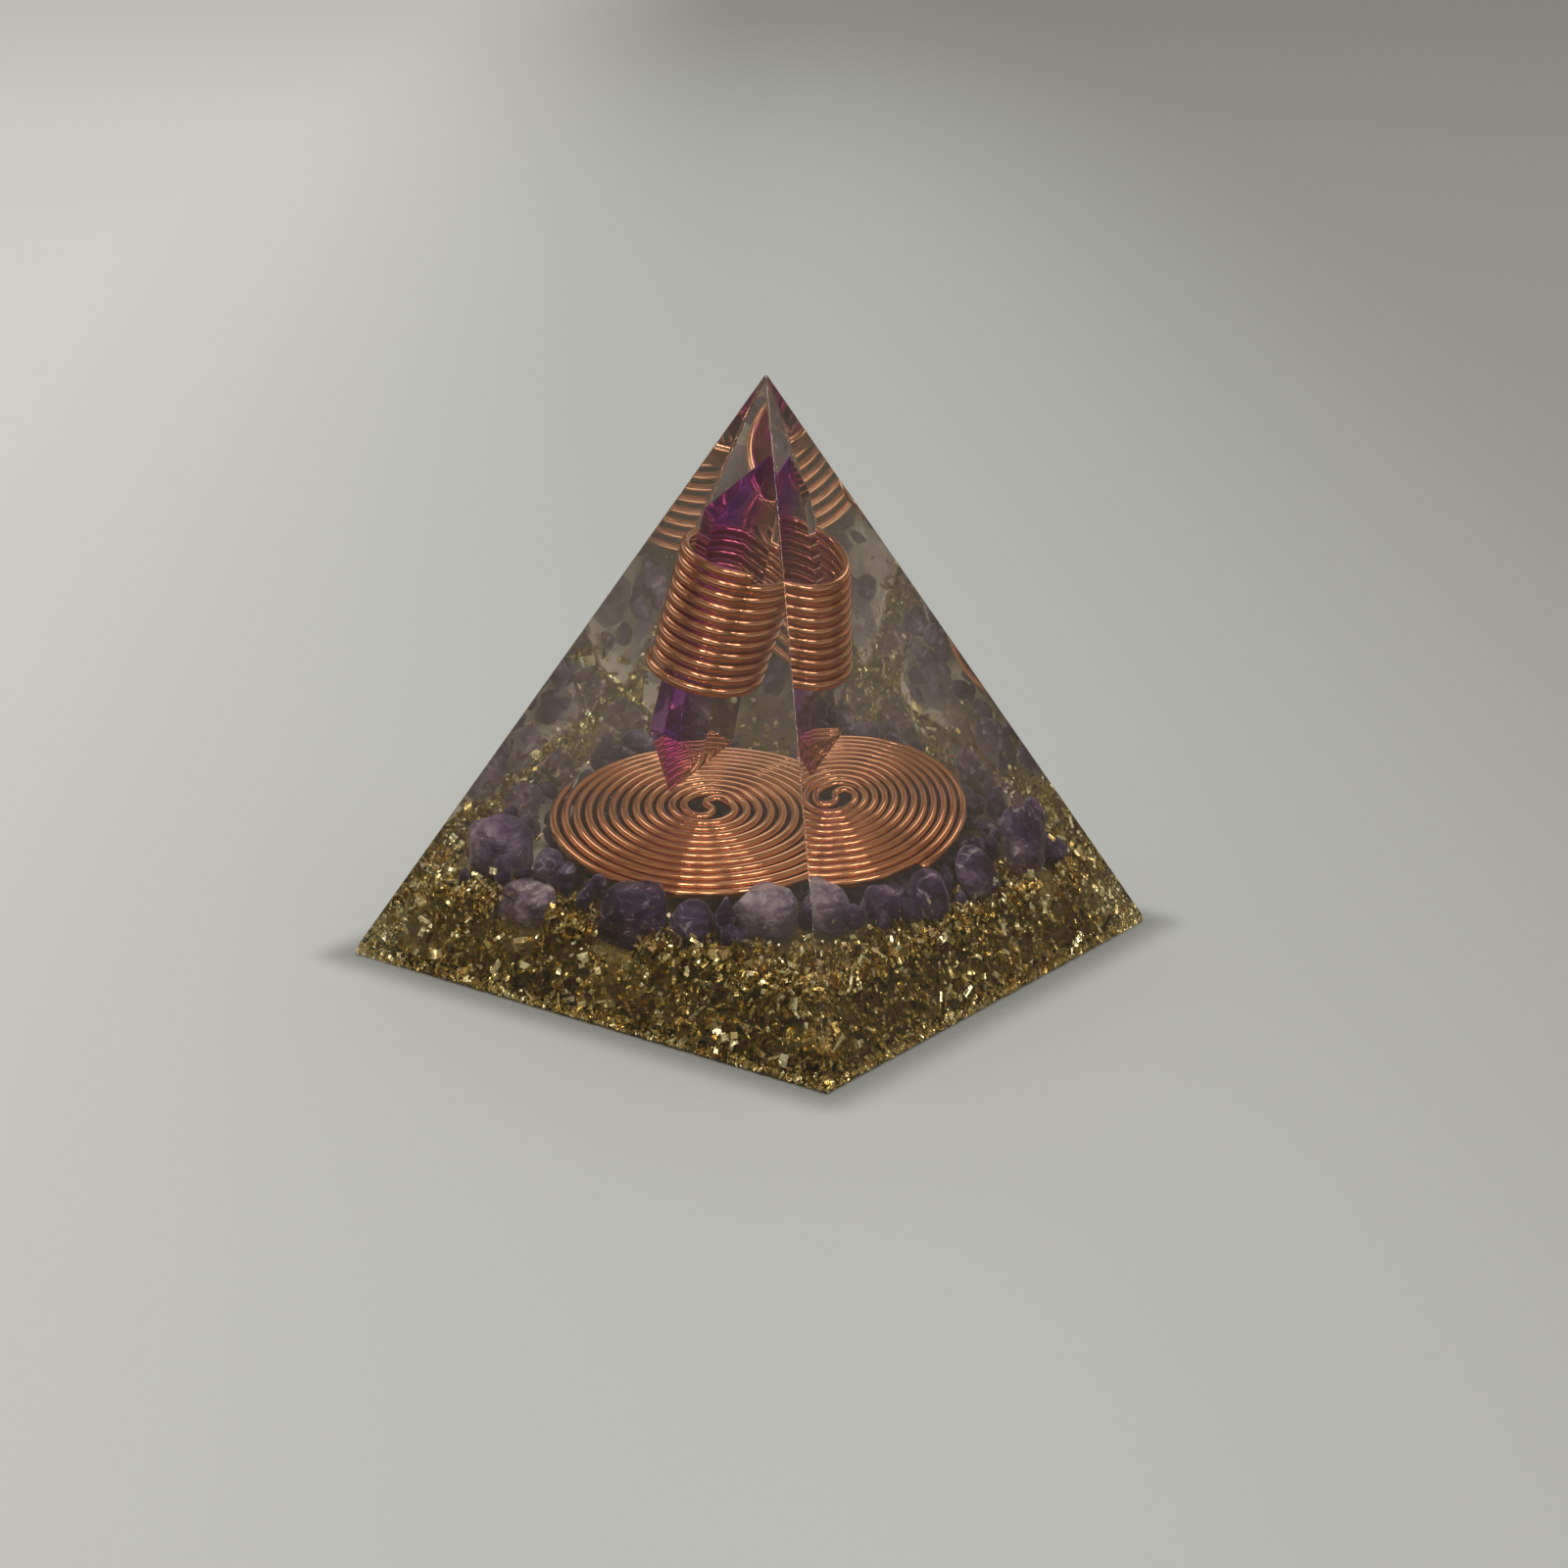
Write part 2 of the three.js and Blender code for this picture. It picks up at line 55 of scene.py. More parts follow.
class Value:
    # one output socket; arithmetic on it adds Math nodes
    def __init__(self, paint, socket):
        self.paint = paint
        self.socket = socket

    def __add__(self, other):
        return self.paint.maths("ADD", self, other)

    def __radd__(self, other):
        return self.paint.maths("ADD", other, self)

    def __sub__(self, other):
        return self.paint.maths("SUBTRACT", self, other)

    def __rsub__(self, other):
        return self.paint.maths("SUBTRACT", other, self)

    def __mul__(self, other):
        return self.paint.maths("MULTIPLY", self, other)

    def __rmul__(self, other):
        return self.paint.maths("MULTIPLY", other, self)

    def __pow__(self, other):
        return self.paint.maths("POWER", self, other)

    def __rpow__(self, other):
        return self.paint.maths("POWER", other, self)


class Paint:
    # one node tree, of a material or of the world
    def __init__(self, owner):
        owner.use_nodes = True
        self.owner = owner
        self.tree = owner.node_tree
        self.tree.nodes.clear()

    # settings are set before the sockets; "stops" are a colour ramp's; a colour is given without alpha
    def node(self, kind, settings=None, sockets=None, output=0):
        made = self.tree.nodes.new(kind)
        for key, value in (settings or {}).items():
            if key == "stops":
                elements = made.color_ramp.elements
                elements[0].position, elements[0].color = value[0]
                elements[-1].position, elements[-1].color = value[-1]
                for place, colour in value[1:-1]:
                    elements.new(place).color = colour
            else:
                setattr(made, key, value)
        for key, value in (sockets or {}).items():
            if isinstance(value, Value):
                self.tree.links.new(value.socket, made.inputs[key])
            elif value is not None:
                isColour = made.inputs[key].type == "RGBA"
                made.inputs[key].default_value = (*value, 1.0) if isColour else value
        return Value(self, made.outputs[output])

    def maths(self, operation, first, second=None):
        return self.node("ShaderNodeMath", {"operation": operation}, {0: first, 1: second})

    def vectors(self, operation, where, other=None, output=0):
        return self.node("ShaderNodeVectorMath", {"operation": operation}, {0: where, 1: other},
                         output=output)

    def axis(self, where, name):
        return self.node("ShaderNodeSeparateXYZ", {}, {0: where}, output=name)

    def attribute(self, name):
        return self.node("ShaderNodeAttribute", {"attribute_name": name}, output="Fac")

    def ray(self, kind):
        return self.node("ShaderNodeLightPath", output=kind)

    def place(self, kind="Object"):
        return self.node("ShaderNodeTexCoord", output=kind)

    def clouds(self, where, scale, detail=3.0, roughness=0.5, stretch=0.0):
        return self.node("ShaderNodeTexNoise", {"noise_dimensions": "3D"}, {
            "Vector": where, "Scale": scale, "Detail": detail, "Roughness": roughness,
            "Distortion": stretch})

    def spread(self, value, low, high, toLow=0.0, toHigh=1.0):
        return self.node("ShaderNodeMapRange", {"interpolation_type": "SMOOTHSTEP"}, {
            "Value": value, "From Min": low, "From Max": high, "To Min": toLow, "To Max": toHigh})

    def ramp(self, value, stops):
        full = [(place, (*colour, 1.0)) for place, colour in stops]
        return self.node("ShaderNodeValToRGB", {"stops": full}, {"Fac": value})

    def blend(self, share, first, second):
        return self.node("ShaderNodeMix", {"data_type": "RGBA"}, {0: share, 6: first, 7: second},
                         output=2)

    def mixed(self, share, first, second):
        return self.node("ShaderNodeMixShader", {}, {0: share, 1: first, 2: second})

    # the surface as it looks, but a plain tinted sheet to light on its way from a lamp
    def lampLit(self, surface, lampShare):
        sheet = self.node("ShaderNodeBsdfTransparent", {}, {"Color": lampShare})
        return self.mixed(self.ray("Is Shadow Ray"), surface, sheet)

    def bump(self, height, strength, distance):
        return self.node("ShaderNodeBump", {}, {
            "Height": height, "Strength": strength, "Distance": distance})

    def finish(self, surface, volume=None):
        sockets = {"Surface": surface}
        if volume is not None:
            sockets["Volume"] = volume
        isWorld = isinstance(self.owner, bpy.types.World)
        made = self.tree.nodes.new("ShaderNodeOutputWorld" if isWorld else "ShaderNodeOutputMaterial")
        for key, value in sockets.items():
            self.tree.links.new(value.socket, made.inputs[key])
        return self.owner


def newPaint(name):
    return Paint(bpy.data.materials.new(name))


# Mesh helpers

def addObject(name, data):
    made = bpy.data.objects.new(name, data)
    bpy.context.scene.collection.objects.link(made)
    return made


def addMesh(name, mesh, material, smooth):
    mesh.polygons.foreach_set("use_smooth", [smooth] * len(mesh.polygons))
    mesh.materials.append(material)
    return addObject(name, mesh)


def addPiece(name, vertices, faces, material, smooth=True):
    mesh = bpy.data.meshes.new(name)
    mesh.from_pydata([tuple(v) for v in vertices], [], faces)
    mesh.validate()
    return addMesh(name, mesh, material, smooth)


# the same from a bmesh, which is used up
def addShape(name, shape, material, smooth=True):
    mesh = bpy.data.meshes.new(name)
    shape.to_mesh(mesh)
    shape.free()
    return addMesh(name, mesh, material, smooth)


# one value at each point, which a material reads by its name
def addShare(piece, name, values):
    piece.data.attributes.new(name, "FLOAT", "POINT").data.foreach_set("value", values)


def settle(piece, slot, *nodes):
    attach(piece, "root")
    if nodes:
        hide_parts(*nodes)
    return piece


# skin over rings of equal counts, closed by a flat face at each end
def skin(rings):
    count = len(rings[0])
    vertices = np.concatenate(rings)
    faces = []
    for ring in range(len(rings) - 1):
        low, high = ring * count, (ring + 1) * count
        for side in range(count):
            after = (side + 1) % count
            faces.append((low + side, low + after, high + after, high + side))
    faces.append(tuple(reversed(range(count))))
    top = (len(rings) - 1) * count
    faces.append(tuple(range(top, top + count)))
    return vertices, faces


# The pyramid's own shape

pyramid = {
    "baseWidth": 76.0 * mm,
    "height": 76.0 * mm,
    "edgeRadius": 0.15 * mm,
    "footRadius": 0.6 * mm,
    "tipRadius": 0.35 * mm,
    "brassDepth": 9.5 * mm,
    "cornerSteps": 10,
    "roundSteps": 7,
}
halfBase = pyramid["baseWidth"] / 2


def halfWidthAt(z):
    return halfBase * (1 - z / pyramid["height"])


# a level ring with rounded corners; "half" is half its width
def squareRing(half, corner, z, steps):
    ring = []
    for quarter in range(4):
        middle = (quarter + 0.5) * math.pi / 2
        reach = (half - corner) * math.sqrt(2)
        for step in range(steps + 1):
            angle = (quarter + step / steps) * math.pi / 2
            ring.append((reach * math.cos(middle) + corner * math.cos(angle),
                         reach * math.sin(middle) + corner * math.sin(angle), z))
    return np.array(ring)


# Resin

resin = {
    "ior": 1.55,
    "tint": (0.985, 0.985, 0.965),
    "volumeColour": (0.80, 0.77, 0.69),
    "volumeDensity": 9.0,
    "waviness": 0.012,
    "waveScale": 55.0,
    "lampShare": (0.97, 0.89, 0.75),
    "hazeColour": (0.94, 0.83, 0.74),
    "hazeDensity": 6.2,
    "hazeForward": 0.2,
    "bubbles": 34,
    "bubbleSeed": 11,
    "bubbleSizes": (0.06 * mm, 0.17 * mm),
    "bubbleHeights": (0.2, 0.8),
    "bubbleCover": 2.0 * mm,
    "bubbleFree": (11.0 * mm, 60.0 * mm),  # none nearer the middle than this, below this height
}


def resinPaint():
    paint = newPaint("clearResin")
    waves = paint.clouds(paint.place(), resin["waveScale"], 1.0)
    glass = paint.node("ShaderNodeBsdfPrincipled", {}, {
        "Base Color": resin["tint"], "Roughness": 0.0, "IOR": resin["ior"],
        "Transmission Weight": 1.0, "Normal": paint.bump(waves, resin["waviness"], 1 * mm)})
    tint = paint.node("ShaderNodeVolumeAbsorption", {}, {
        "Color": resin["volumeColour"], "Density": resin["volumeDensity"]})
    haze = paint.node("ShaderNodeVolumeScatter", {}, {
        "Color": resin["hazeColour"], "Density": resin["hazeDensity"],
        "Anisotropy": resin["hazeForward"]})
    return paint.finish(paint.lampLit(glass, resin["lampShare"]),
                        paint.node("ShaderNodeAddShader", {}, {0: tint, 1: haze}))


def makeResin():
    foot, edge, steps = pyramid["footRadius"], pyramid["edgeRadius"], pyramid["cornerSteps"]
    rounds = pyramid["roundSteps"]
    rings = []
    for step in range(rounds):
        angle = step / rounds * math.pi / 2
        rise = foot * (1 - math.cos(angle))
        inset = foot * (1 - math.sin(angle))
        rings.append(squareRing(halfWidthAt(rise) - inset, edge + foot, rise, steps))
    rings.append(squareRing(halfWidthAt(foot), edge + foot, foot, steps))
    rings.append(squareRing(halfWidthAt(2 * foot), edge, 2 * foot, steps))
    slope = math.atan2(halfBase, pyramid["height"])
    tip = pyramid["tipRadius"]
    middle = pyramid["height"] - tip / math.sin(slope)
    for step in range(rounds):
        angle = slope + (math.pi / 2 - slope) * step / rounds
        radius = tip * math.cos(angle)
        rings.append(squareRing(radius, radius, middle + tip * math.sin(angle), steps))
    vertices, faces = skin(rings)
    vertices, faces = list(vertices), list(faces)
    # small air bubbles, as hollows in the resin
    rng = random.Random(resin["bubbleSeed"])
    freeRadius, freeHeight = resin["bubbleFree"]
    for _ in range(resin["bubbles"]):
        z = rng.uniform(*resin["bubbleHeights"]) * pyramid["height"]
        reach = halfWidthAt(z) - resin["bubbleCover"]
        centre = Vector((rng.uniform(-reach, reach), rng.uniform(-reach, reach), z))
        if centre.xy.length < freeRadius and z < freeHeight:
            continue
        ball = bmesh.new()
        size = rng.uniform(*resin["bubbleSizes"])
        bmesh.ops.create_icosphere(ball, subdivisions=2, radius=size, matrix=Matrix.Translation(centre))
        first = len(vertices)
        vertices += [v.co[:] for v in ball.verts]
        faces += [tuple(first + v.index for v in reversed(f.verts)) for f in ball.faces]
        ball.free()
    piece = addPiece("resinPyramid", vertices, faces, resinPaint(), smooth=False)
    return settle(piece, "clear_resin", "clear_casting", "brass_casting")


# Copper

wire = {
    "radius": 0.63 * mm,
    "sides": 16,
    "stepsPerLoop": 96,
    "chamfer": 0.12 * mm,
    # painted light: the spiral's copper is painted brighter and less tarnished than the coil's, though it is
    # the same copper
    "spiralPaintedLitColour": (1.0, 0.44, 0.22),
    "spiralTarnishAndPaintedLight": 0.25,
    "coilColour": (0.86, 0.41, 0.24),
    "coilTarnish": 0.5,
    "dark": (0.50, 0.15, 0.06),
    "roughness": (0.10, 0.20),
}


# rings of a round wire through points; its ends are cut flat with a small chamfer
def wireRings(points, radius):
    along = np.gradient(points, axis=0)
    along /= np.linalg.norm(along, axis=1)[:, None]
    across = np.cross((0.0, 0.0, 1.0), along)
    across /= np.linalg.norm(across, axis=1)[:, None]
    over = np.cross(along, across)
    angles = np.arange(wire["sides"]) / wire["sides"] * 2 * math.pi
    rings = []
    for at, point in enumerate(points):
        spokes = np.array([math.cos(a) * across[at] + math.sin(a) * over[at] for a in angles])
        rings.append(point + radius * spokes)
        if at in (0, len(points) - 1):
            outward = along[at] * (1 if at else -1)
            end = point + outward * wire["chamfer"] + (radius - wire["chamfer"]) * spokes
            rings.insert(len(rings) if at else 0, end)
    return rings


def copperPaint(name, copperColour, tarnished):
    paint = newPaint(name)
    where = paint.place()
    tarnish = paint.spread(paint.clouds(where, 150.0, 3.0, 0.6), 0.45, 0.75)
    fine = paint.clouds(where, 500.0, 2.0)
    colour = paint.blend(tarnish * tarnished, copperColour, wire["dark"])
    low, high = wire["roughness"]
    metal = paint.node("ShaderNodeBsdfPrincipled", {}, {
        "Base Color": colour, "Metallic": 1.0,
        "Roughness": paint.spread(fine, 0.3, 0.7, low, high),
        "Coat Weight": 0.5, "Coat Roughness": 0.12})
    return paint.finish(metal)


# points shifted by a slow noise, as in wire bent by hand; "run" is the length of a wave
def wobbled(points, size, run, seed):
    shifted = []
    for point in points:
        spot = Vector(point) / run + Vector((seed, seed * 2.0, seed * 3.0))
        shifted.append(np.array(point) + np.array(noise.noise_vector(spot)) * size)
    return np.array(shifted)


spiral = {
    "bendRadius": 1.68 * mm,
    "pitch": 1.72 * mm,
    "armSweep": 2047.0,
    "barAngle": -20.6,
    "middle": (0.0, -1.1 * mm, 15.95 * mm),
    "droop": 1.9 * mm,
    "tilt": 2.8,
    "wobble": 0.05 * mm,
    "wobbleRun": 9.0 * mm,
    "wobbleSeed": 3.1,
}
spiralReach = 2 * spiral["bendRadius"] + spiral["pitch"] * spiral["armSweep"] / 180


# one arm, in half circles: the first is the bend of the S, each later one is a pitch wider
def spiralArm(turned):
    bend, pitch, loop = spiral["bendRadius"], spiral["pitch"], wire["stepsPerLoop"]
    steps = round((180 + spiral["armSweep"]) / (360 / loop))
    turn = math.radians(spiral["barAngle"] - 90) + turned
    points = []
    for step in range(steps + 1):
        half = step // (loop // 2)
        angle = math.pi + step / (loop // 2) * math.pi
        sign = 1 if half % 2 == 0 else -1
        centre = bend if half == 0 else sign * pitch / 2
        radius = bend if half == 0 else 2 * bend + pitch * (half - 0.5)
        x, y = centre + radius * math.cos(angle), -radius * math.sin(angle)
        points.append((x * math.cos(turn) - y * math.sin(turn),
                       x * math.sin(turn) + y * math.cos(turn), 0.0))
    return points


def makeSpiral(copper):
    flat = np.array(spiralArm(math.pi)[::-1] + spiralArm(0.0)[1:])
    flat[:, 2] = -spiral["droop"] * (np.hypot(flat[:, 0], flat[:, 1]) / spiralReach) ** 2
    tilt = Matrix.Rotation(math.radians(spiral["tilt"]), 3, "X")
    points = [np.array(tilt @ Vector(p) + Vector(spiral["middle"])) for p in flat]
    points = wobbled(points, spiral["wobble"], spiral["wobbleRun"], spiral["wobbleSeed"])
    vertices, faces = skin(wireRings(points, wire["radius"]))
    piece = addPiece("copperSpiral", vertices, faces, copper)
    return settle(piece, "copper", "flat_spiral")


crystal = {
    "lowRadius": 6.2 * mm,
    "highRadius": 5.2 * mm,
    "lowTip": 9.0 * mm,
    "highTip": 8.0 * mm,
    "lean": (6.5, -1.1),
    "seat": (-6.6 * mm, -1.0 * mm),
    "cover": 10.6 * mm,
    "lowShift": (1.1 * mm, 0.8 * mm),
    "highShift": (2.2 * mm, 1.5 * mm),
    "turn": 12.0,
    "lowShares": (1.0, 0.8, 1.1, 0.9, 1.15, 0.95),
    "highShares": (0.75, 0.8, 1.0, 1.1, 1.05, 0.85),
    "bevel": 0.12 * mm,
    "clearance": 0.3 * mm,
    "wireRadius": 0.6 * mm,  # of the solids' wire, on which the seat is reckoned
}


def leanAxis(lean):
    return Vector((math.tan(math.radians(lean[0])), math.tan(math.radians(lean[1])), 1)).normalized()


def spiralHeightAt(x, y):
    mx, my, mz = spiral["middle"]
    away = math.hypot(x - mx, y - my) / spiralReach
    return mz + (y - my) * math.tan(math.radians(spiral["tilt"])) - spiral["droop"] * away ** 2


crystalSeat = Vector((*crystal["seat"], spiralHeightAt(*crystal["seat"])
                      + crystal["wireRadius"] + crystal["clearance"]))
crystalAxis = leanAxis(crystal["lean"])
crystalLength = (pyramid["height"] - crystal["cover"] - crystalSeat.z) / crystalAxis.z


def crystalMiddleAt(z):
    start = crystalSeat + Vector((*crystal["lowShift"], 0.0))
    return start + crystalAxis * ((z - crystalSeat.z) / crystalAxis.z)


crystalLook = {
    "ior": 0.93,
    "roughness": 0.03,
    "clear": (0.76, 0.72, 0.74),
    "edge": (0.66, 0.29, 0.86),
    "blush": (0.90, 0.67, 0.72),
    "rose": (0.62, 0.31, 0.76),
    "lampShare": (0.90, 0.78, 0.84),
    "filmSide": (-0.81, -0.59, 0.0),
    "filmFrom": -1.2 * mm,
    "filmTo": 3.0 * mm,
    "filmMiddle": 30.0 * mm,
    "filmPatches": 4.0 * mm,
    "roseTop": 21.0 * mm,
    "roseFade": 4.0 * mm,
    "widerFrom": 48.0 * mm,
    "widening": 0.3,
}


# a violet film down one side of the crystal, that turns to rose at the seat
def crystalPaint():
    paint = newPaint("coatedCrystal")
    where = paint.place()
    side, middle = crystalLook["filmSide"], crystalLook["filmMiddle"]
    aside = paint.vectors("SUBTRACT", where, tuple(crystalMiddleAt(middle)))
    along = paint.vectors("DOT_PRODUCT", aside, side, output="Value")
    height = paint.axis(where, "Z")
    lean = sum(math.tan(math.radians(angle)) * part for angle, part in zip(crystal["lean"], side))
    risen = paint.maths("MAXIMUM", height - crystalLook["widerFrom"], 0.0)
    along = along - (height - middle) * lean + risen * crystalLook["widening"]
    patches = (paint.clouds(where, 90.0, 2.0) - 0.5) * crystalLook["filmPatches"]
    share = paint.spread(along + patches, crystalLook["filmFrom"], crystalLook["filmTo"])
    low = paint.spread(height, crystalLook["roseTop"] - crystalLook["roseFade"], crystalLook["roseTop"])
    clear, edge, blush, rose = [paint.node("ShaderNodeBsdfGlass", {}, {
        "Color": crystalLook[name], "Roughness": crystalLook["roughness"], "IOR": crystalLook["ior"]})
        for name in ("clear", "edge", "blush", "rose")]
    glass = paint.mixed(low, paint.mixed(share, blush, rose), paint.mixed(share, clear, edge))
    return paint.finish(paint.lampLit(glass, crystalLook["lampShare"]))


def makeCrystal():
    (lowX, lowY), (highX, highY) = crystal["lowShift"], crystal["highShift"]
    shape = bmesh.new()
    shape.verts.new((0, 0, 0))
    shape.verts.new((lowX + highX, lowY + highY, crystalLength))
    for side in range(6):
        angle = math.radians(crystal["turn"]) + side / 6 * 2 * math.pi
        for radius, z in (
            (crystal["lowRadius"], crystal["lowTip"] * crystal["lowShares"][side]),
            (crystal["highRadius"],
             crystalLength - crystal["highTip"] * crystal["highShares"][side]),
        ):
            shape.verts.new((lowX + radius * math.cos(angle), lowY + radius * math.sin(angle), z))
    bmesh.ops.convex_hull(shape, input=shape.verts)
    bmesh.ops.dissolve_limit(shape, angle_limit=math.radians(0.5), verts=shape.verts, edges=shape.edges)
    bmesh.ops.bevel(shape, geom=shape.edges[:], offset=crystal["bevel"], segments=2,
                    profile=0.5, affect="EDGES")
    bmesh.ops.recalc_face_normals(shape, faces=shape.faces)
    turn = Vector((0, 0, 1)).rotation_difference(crystalAxis).to_matrix().to_4x4()
    bmesh.ops.transform(shape, matrix=Matrix.Translation(crystalSeat) @ turn, verts=shape.verts)
    piece = addShape("crystalPoint", shape, crystalPaint(), smooth=False)
    return settle(piece, "crystal", "crystal_point")


coil = {
    "pitch": 1.65 * mm,
    "turns": 10.375,
    "lowRadius": 7.7 * mm,
    "highRadius": 8.4 * mm,
    "cover": 3.4 * mm,
    "lean": (10.5, 2.7),
    "topEndAngle": -62.0,
    "flare": 0.9 * mm,
    "flareTurns": 0.8,
    "radius": 0.7 * mm,
    "endRun": 1.2 * mm,
    "wobble": 0.08 * mm,
    "wobbleRun": 7.0 * mm,
    "wobbleSeed": 8.7,
}


def makeCoil(copper):
    loop, turns = wire["stepsPerLoop"], coil["turns"]
    steps = round(turns * loop)
    points = []
    for step in range(steps + 1):
        turn = step / loop
        angle = math.radians(coil["topEndAngle"]) + (turn - turns) * 2 * math.pi
        radius = coil["lowRadius"] + (coil["highRadius"] - coil["lowRadius"]) * turn / turns
        radius += coil["flare"] * max(0.0, 1 - turn / coil["flareTurns"]) ** 2
        points.append(Vector((radius * math.cos(angle), radius * math.sin(angle), coil["pitch"] * turn)))
    points.insert(0, points[0] + (points[0] - points[1]).normalized() * coil["endRun"])
    points.append(points[-1] + (points[-1] - points[-2]).normalized() * coil["endRun"])
    axis = leanAxis(coil["lean"])
    outside = coil["highRadius"] + crystal["wireRadius"] + coil["cover"]
    lowZ = pyramid["height"] * (1 - outside / halfBase) - coil["pitch"] * turns * axis.z
    turn = Vector((0, 0, 1)).rotation_difference(axis)
    start = crystalMiddleAt(lowZ)
    placed = [np.array(turn @ p + start) for p in points]
    placed = wobbled(placed, coil["wobble"], coil["wobbleRun"], coil["wobbleSeed"])
    vertices, faces = skin(wireRings(placed, coil["radius"]))
    piece = addPiece("copperCoil", vertices, faces, copper)
    return settle(piece, "copper", "helix_coil")


# Amethyst

stones = {
    "detail": 5,
    "flats": 9,
    "flatShares": (0.74, 0.95),
    "smoothing": 2,
    "lumps": 0.25 * mm,
    "grain": 0.06 * mm,
    "skin": 0.12 * mm,
    "rimStones": 18,
    "pale": {1: 0.35, 2: 0.7, 3: 0.35, 4: 0.15, 5: 0.1, 6: 0.6, 7: 0.5, 8: 0.25, 9: 0.3, 10: 0.45,
             11: 0.25, 12: 0.1, 13: 0.3, 14: 0.1, 15: 0.2, 16: 0.35, 17: 0.1, 18: 0.15},
    "clear": {11: 0.45, 12: 0.3, 13: 0.5, 14: 0.35, 15: 0.45, 16: 0.5, 17: 0.35, 18: 0.35},
    "bedClear": 0.1,
    "bedPale": 0.12,
    "baseTone": 0.38,
    "cloudTone": 1.1,
    "streakTone": 0.7,
    "paleTone": 0.42,
    "middlePale": 0.35,
    "deep": (0.020, 0.010, 0.030),
    "violet": (0.058, 0.035, 0.086),
    "lilac": (0.150, 0.112, 0.176),
    "milky": (0.42, 0.36, 0.40),
    "clearness": (0.2, 0.5),
    "paleClearness": 0.45,
}


def amethystPaint():
    paint = newPaint("tumbledAmethyst")
    where = paint.place()
    pale, clear = paint.attribute("paleness"), paint.attribute("clear")
    large = paint.clouds(where, 170.0, 3.0, 0.55, 0.6)
    streaks = paint.clouds(paint.vectors("MULTIPLY", where, (1.0, 0.45, 2.2)), 420.0, 4.0, 0.65, 1.2)
    fine = paint.clouds(where, 1400.0, 3.0, 0.6)
    paler = pale - stones["middlePale"]
    tone = stones["baseTone"] + (large - 0.5) * stones["cloudTone"] \
        + (streaks - 0.5) * stones["streakTone"] + paler * stones["paleTone"]
    colour = paint.ramp(tone, [
        (0.22, stones["deep"]), (0.42, stones["violet"]), (0.58, stones["lilac"]),
        (0.78, stones["milky"])])
    vein = paint.spread(streaks, 0.59, 0.67)
    colour = paint.blend(vein * (0.35 + pale * 0.7), colour, stones["milky"])
    least, most = stones["clearness"]
    thin = paler * stones["paleClearness"] + clear
    stone = paint.node("ShaderNodeBsdfPrincipled", {}, {
        "Base Color": colour, "Roughness": paint.spread(fine, 0.3, 0.7, 0.25, 0.5),
        "Alpha": paint.spread(large, 0.3, 0.65, 1 - most, 1 - least) - thin,
        "Specular IOR Level": 0.15, "Sheen Weight": 0.16, "Sheen Roughness": 0.35,
        "Normal": paint.bump(fine, 0.25, 0.04 * mm)})
    return paint.finish(stone)


# cuts flats into a rounded form, given as its reach in each direction
def cutFlats(reach, outward, rng, shares):
    for _ in range(stones["flats"]):
        normal = rng.normal(size=3)
        normal /= np.linalg.norm(normal)
        facing = outward @ normal
        support = np.max(reach * facing) * rng.uniform(*shares)
        reach = np.where(facing > 0.05, np.minimum(reach, support / np.maximum(facing, 0.05)), reach)
    return reach


def treeOf(mesh):
    return BVHTree.FromPolygons([v.co for v in mesh.vertices], [p.vertices[:] for p in mesh.polygons])


# a stone with the solid's own outline, its facets smoothed and its skin broken up
def makeStone(node, number, stonePaint):
    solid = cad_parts[node]
    low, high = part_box(node)
    tree = treeOf(solid.data)
    centre = (low + high) / 2
    ball = bmesh.new()
    bmesh.ops.create_icosphere(ball, subdivisions=stones["detail"], radius=1.0)
    ball.verts.ensure_lookup_table()
    outward = [v.co.normalized() for v in ball.verts]
    reach = []
    for direction in outward:
        hit = tree.ray_cast(centre, direction)[3]
        reach.append(hit if hit is not None else (high - low).length / 4)
    near = [[e.other_vert(v).index for e in v.link_edges] for v in ball.verts]
    rng = np.random.default_rng(number)
    rounded = cutFlats(np.array(reach), np.array(outward), rng, stones["flatShares"])
    for _ in range(stones["smoothing"]):
        rounded = np.array([0.5 * rounded[i] + 0.5 * np.mean(rounded[n]) for i, n in enumerate(near)])
    shift = Vector((number * 7.3, number * 3.1, number * 5.7))
    for i, vert in enumerate(ball.verts):
        spot = outward[i] * 2.1 + shift
        rough = noise.noise(spot) * stones["lumps"] + noise.noise(spot * 4.7) * stones["grain"]
        vert.co = centre + outward[i] * min(rounded[i] + rough, reach[i] + stones["skin"])
    piece = addShape(f"amethyst{number:02d}", ball, stonePaint)
    isBed = number > stones["rimStones"]
    pale = stones["pale"].get(number, stones["bedPale"])
    clear = stones["clear"].get(number, stones["bedClear"] if isBed else 0.0)
    addShare(piece, "paleness", [pale] * len(piece.data.vertices))
    addShare(piece, "clear", [clear] * len(piece.data.vertices))
    return settle(piece, "amethyst", node)


crumbs = {
    "seed": 31,
    "count": 125,
    "tries": 6000,
    "sizes": (1.1 * mm, 2.6 * mm),
    "sizeFall": 1.3,
    "flatShares": (0.5, 0.9),
    "shapes": (0.6, 1.3),
    "from": 15.0 * mm,
    "faceFree": 3.2 * mm,
    "cornerFree": 14.0 * mm,
    "frontFree": 24.0 * mm,
    "backFrom": 6.0 * mm,
    "backShare": 0.6,
    "pile": 3.4 * mm,
    "pileFall": 1.6,
    "sunk": 0.8,  # this and the next two are shares of a bit's own size
    "nearest": 0.85,
    "underWire": 1.2,
    "pale": (-0.1, 0.2),
    "clear": 0.05,
}


# a value between two limits; "fall" above 1 makes the low ones more frequent
def drawn(rng, limits, fall, count=None):
    return limits[0] + (limits[1] - limits[0]) * rng.random(count) ** fall


